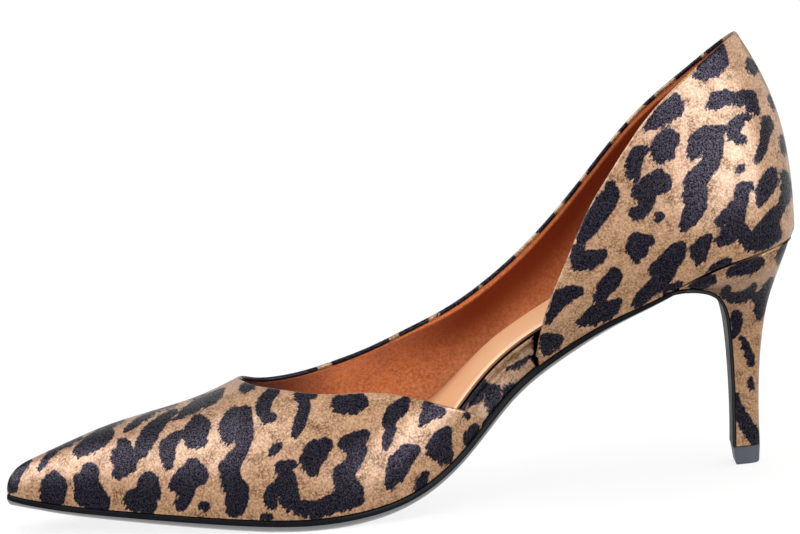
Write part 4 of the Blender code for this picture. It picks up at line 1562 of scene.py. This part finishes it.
# Moulded heel covered in the same satin, darkened with painted shade
heelCut = {
    "frontX": 81.4,
    "roundness": 2.5,
    "tipRoundness": 3.8,
    "seatRoundness": 2.6,
    "seatDrop": 0.45,
    "seatInset": 0.7,
    "seatBackInset": 1.3,
    "insetRings": 16,
    "rings": 110,
    "ringPoints": 73,
    "frontSteps": 12,
}


def heelRing(front, back, halfWidth, roundness, points):
    ring = []
    for turn in np.linspace(-math.pi / 2, math.pi / 2, points):
        reach = abs(math.cos(turn)) ** (2.0 / roundness)
        aside = math.copysign(abs(math.sin(turn)) ** (2.0 / roundness), math.sin(turn))
        ring.append(front + (back - front) * reach + np.array([0.0, halfWidth * aside, 0.0]))
    return ring


def closeFront(ring, steps):
    return ring + between(ring[-1], ring[0], steps)


def buildHeel(paint):
    run = runAlong(heelBack)
    xOf = spline(run, heelBack["x"])
    zOf = spline(run, heelBack["z"])
    count = heelCut["ringPoints"]
    seatFront = np.array([heelCut["frontX"], 0.0, float(featherZ(heelCut["frontX"]))])
    seatBack = np.array([heelX - heelCut["seatBackInset"], 0.0, float(featherZ(heelX))])
    seatWidth = max(featherLine["outerY"][-3:]) - heelCut["seatInset"]
    seat = heelRing(seatFront, seatBack, seatWidth, heelCut["seatRoundness"], count)
    for point in seat:
        point[2] = float(featherZ(point[0])) - heelCut["seatDrop"]
    rings = [closeFront(seat, heelCut["frontSteps"])]
    rows = breastRows(heelCut["rings"], heelCut["frontX"] - breastLine["x"][0])
    for k, (middle, front, halfWidth) in enumerate(rows):
        s = run[-1] * k / heelCut["rings"]
        back = np.array([float(xOf(s)), 0.0, float(zOf(s))])
        squarer = heelCut["tipRoundness"] - heelCut["roundness"]
        roundness = heelCut["roundness"] + squarer * k / heelCut["rings"]
        narrow = heelCut["seatInset"] * max(0.0, 1.0 - k / heelCut["insetRings"])
        ring = heelRing(middle - front * last["seatGap"], back, halfWidth - narrow, roundness, count)
        rings.append(closeFront(ring, heelCut["frontSteps"]))
    points, faces = loft(rings[::-1])
    piece = turnOut(meshPiece("heel", points, faces, [paint]))
    placePrint(piece, heelSpots, True)
    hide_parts("heel")
    print("heel:", len(piece.data.vertices), "points")
    return piece


# Top piece under the heel
liftCut = {
    "height": 5.4,
    "frontX": 95.4,
    "backX": 103.6,
    "halfWidth": 4.4,
    "taper": 0.5,
    "edge": 0.5,
    "edgeRows": 6,
    "topEdge": 0.12,
    "rings": 12,
}


def buildTopPiece(paint):
    edge = liftCut["edge"]
    profile = []
    for turn in np.linspace(0.0, math.pi / 2, liftCut["edgeRows"] + 1):
        profile.append((edge - edge * math.cos(turn), liftCut["taper"] + edge - edge * math.sin(turn)))
    for share in np.linspace(0.0, 1.0, liftCut["rings"])[1:]:
        height = edge + (liftCut["height"] - edge) * share
        profile.append((height, liftCut["taper"] * (1.0 - share)))
    profile[-1] = (liftCut["height"], liftCut["topEdge"])
    profile.insert(-1, (liftCut["height"] - liftCut["topEdge"], 0.0))
    rings = []
    for z, inset in profile:
        front = np.array([liftCut["frontX"] + inset, 0.0, z])
        back = np.array([liftCut["backX"] - inset, 0.0, z])
        halfWidth = liftCut["halfWidth"] - inset
        ring = heelRing(front, back, halfWidth, heelCut["tipRoundness"], heelCut["ringPoints"])
        rings.append(closeFront(ring, heelCut["frontSteps"]))
    points, faces = loft(rings)
    piece = turnOut(meshPiece("top_piece", points, faces, [paint]))
    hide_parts("top_piece")
    print("top piece:", len(piece.data.vertices), "points")
    return piece


pieces = [
    buildUpper(satinMaterial("printed_satin"), suedeMaterial()),
    # the wrapped insole edge takes the satin darkened with painted shade
    buildInsole(satinMaterial("printed_satin_wrapped_shaded", satin["wrapShade"])),
    buildSock(sheepskinMaterial(), cutEdgeMaterial()),
    buildOutsole(*[resinMaterial(name) for name in resin["finishes"]]),
    # the heel takes the satin darkened with painted shade
    buildHeel(satinMaterial("printed_satin_heel_shaded", satin["heelShade"])),
    buildTopPiece(topLiftMaterial()),
]

# Studio: a white floor, and wide soft banks of light from the left, right, top, front and heel end;
# the two floor lights fall on the floor alone
studio = {
    "floorSize": 12.0,
    "floor": "#FAFAFA",
    "floorRoughness": 0.8,
    "world": "#FFFFFF",
    "worldStrength": 0.05,
    "banks": {
        "left_bank": {"from": (-0.76, -0.19, 0.62), "spread": 60.0, "strength": 5.1, "on": "shoe"},
        "right_bank": {"from": (0.59, -0.78, 0.20), "spread": 66.0, "strength": 9.0, "on": "shoe"},
        "top_bank": {"from": (-0.12, 0.36, 0.92), "spread": 130.0, "strength": 2.6, "on": "shoe"},
        "front_bank": {"from": (-0.28, -0.95, 0.10), "spread": 56.0, "strength": 0.9, "on": "shoe"},
        "edge_bank": {"from": (0.93, 0.33, 0.08), "spread": 60.0, "strength": 1.4, "on": "shoe"},
        "floor_wash": {
            "from": (0.0, 0.0, 1.0), "spread": 30.0, "strength": 2.5, "on": "floor", "shadow": False,
        },
        "floor_soft": {"from": (0.0, 0.1, 1.0), "spread": 120.0, "strength": 0.9, "on": "floor"},
    },
}


def buildStudio(pieces):
    floor, tree, shader = newMaterial("matt_white_sweep")
    setInputs(tree, shader, {"Base Color": paintHex(studio["floor"]), "Roughness": studio["floorRoughness"]})
    half = studio["floorSize"] / 2
    corners = [(-half, -half, 0), (half, -half, 0), (half, half, 0), (-half, half, 0)]
    mesh = bpy.data.meshes.new("floor")
    mesh.from_pydata(corners, [], [(0, 1, 2, 3)])
    mesh.materials.append(floor)
    ground = bpy.data.objects.new("floor", mesh)
    bpy.context.scene.collection.objects.link(ground)
    world = bpy.data.worlds.new("white_room")
    world.use_nodes = True
    setInputs(world.node_tree, world.node_tree.nodes["Background"], {
        "Color": paintHex(studio["world"]), "Strength": studio["worldStrength"],
    })
    bpy.context.scene.world = world
    # the shoe's lights leave the floor alone, so that it stays white with only a faint soft shadow
    lightGroups = {name: bpy.data.collections.new("lit_" + name) for name in ("shoe", "floor")}
    lightGroups["floor"].objects.link(ground)
    for piece in pieces:
        lightGroups["shoe"].objects.link(piece)
    for name, bank in studio["banks"].items():
        light = bpy.data.lights.new(name, "SUN")
        light.energy = bank["strength"]
        light.angle = math.radians(bank["spread"])
        holder = bpy.data.objects.new(name, light)
        holder.rotation_euler = Vector(bank["from"]).to_track_quat("Z", "Y").to_euler()
        holder.light_linking.receiver_collection = lightGroups[bank["on"]]
        if not bank.get("shadow", True):
            holder.light_linking.blocker_collection = lightGroups["floor"]
        bpy.context.scene.collection.objects.link(holder)
    print("studio ready")


def buildCamera():
    lens = bpy.data.cameras.new("photo_view")
    lens.sensor_width = photoView["sensor"]
    lens.lens = focal * photoView["sensor"] / photoView["width"]
    lens.clip_start, lens.clip_end = photoView["clip"]
    camera = bpy.data.objects.new("photo_view", lens)
    place = eye * mm
    camera.matrix_world = Matrix((
        (viewRight[0], viewUp[0], -viewAhead[0], place[0]),
        (viewRight[1], viewUp[1], -viewAhead[1], place[1]),
        (viewRight[2], viewUp[2], -viewAhead[2], place[2]),
        (0, 0, 0, 1)))
    bpy.context.scene.collection.objects.link(camera)
    bpy.context.scene.camera = camera
    bpy.context.scene.view_settings.view_transform = "Standard"
    print("camera ready")


buildStudio(pieces)
buildCamera()
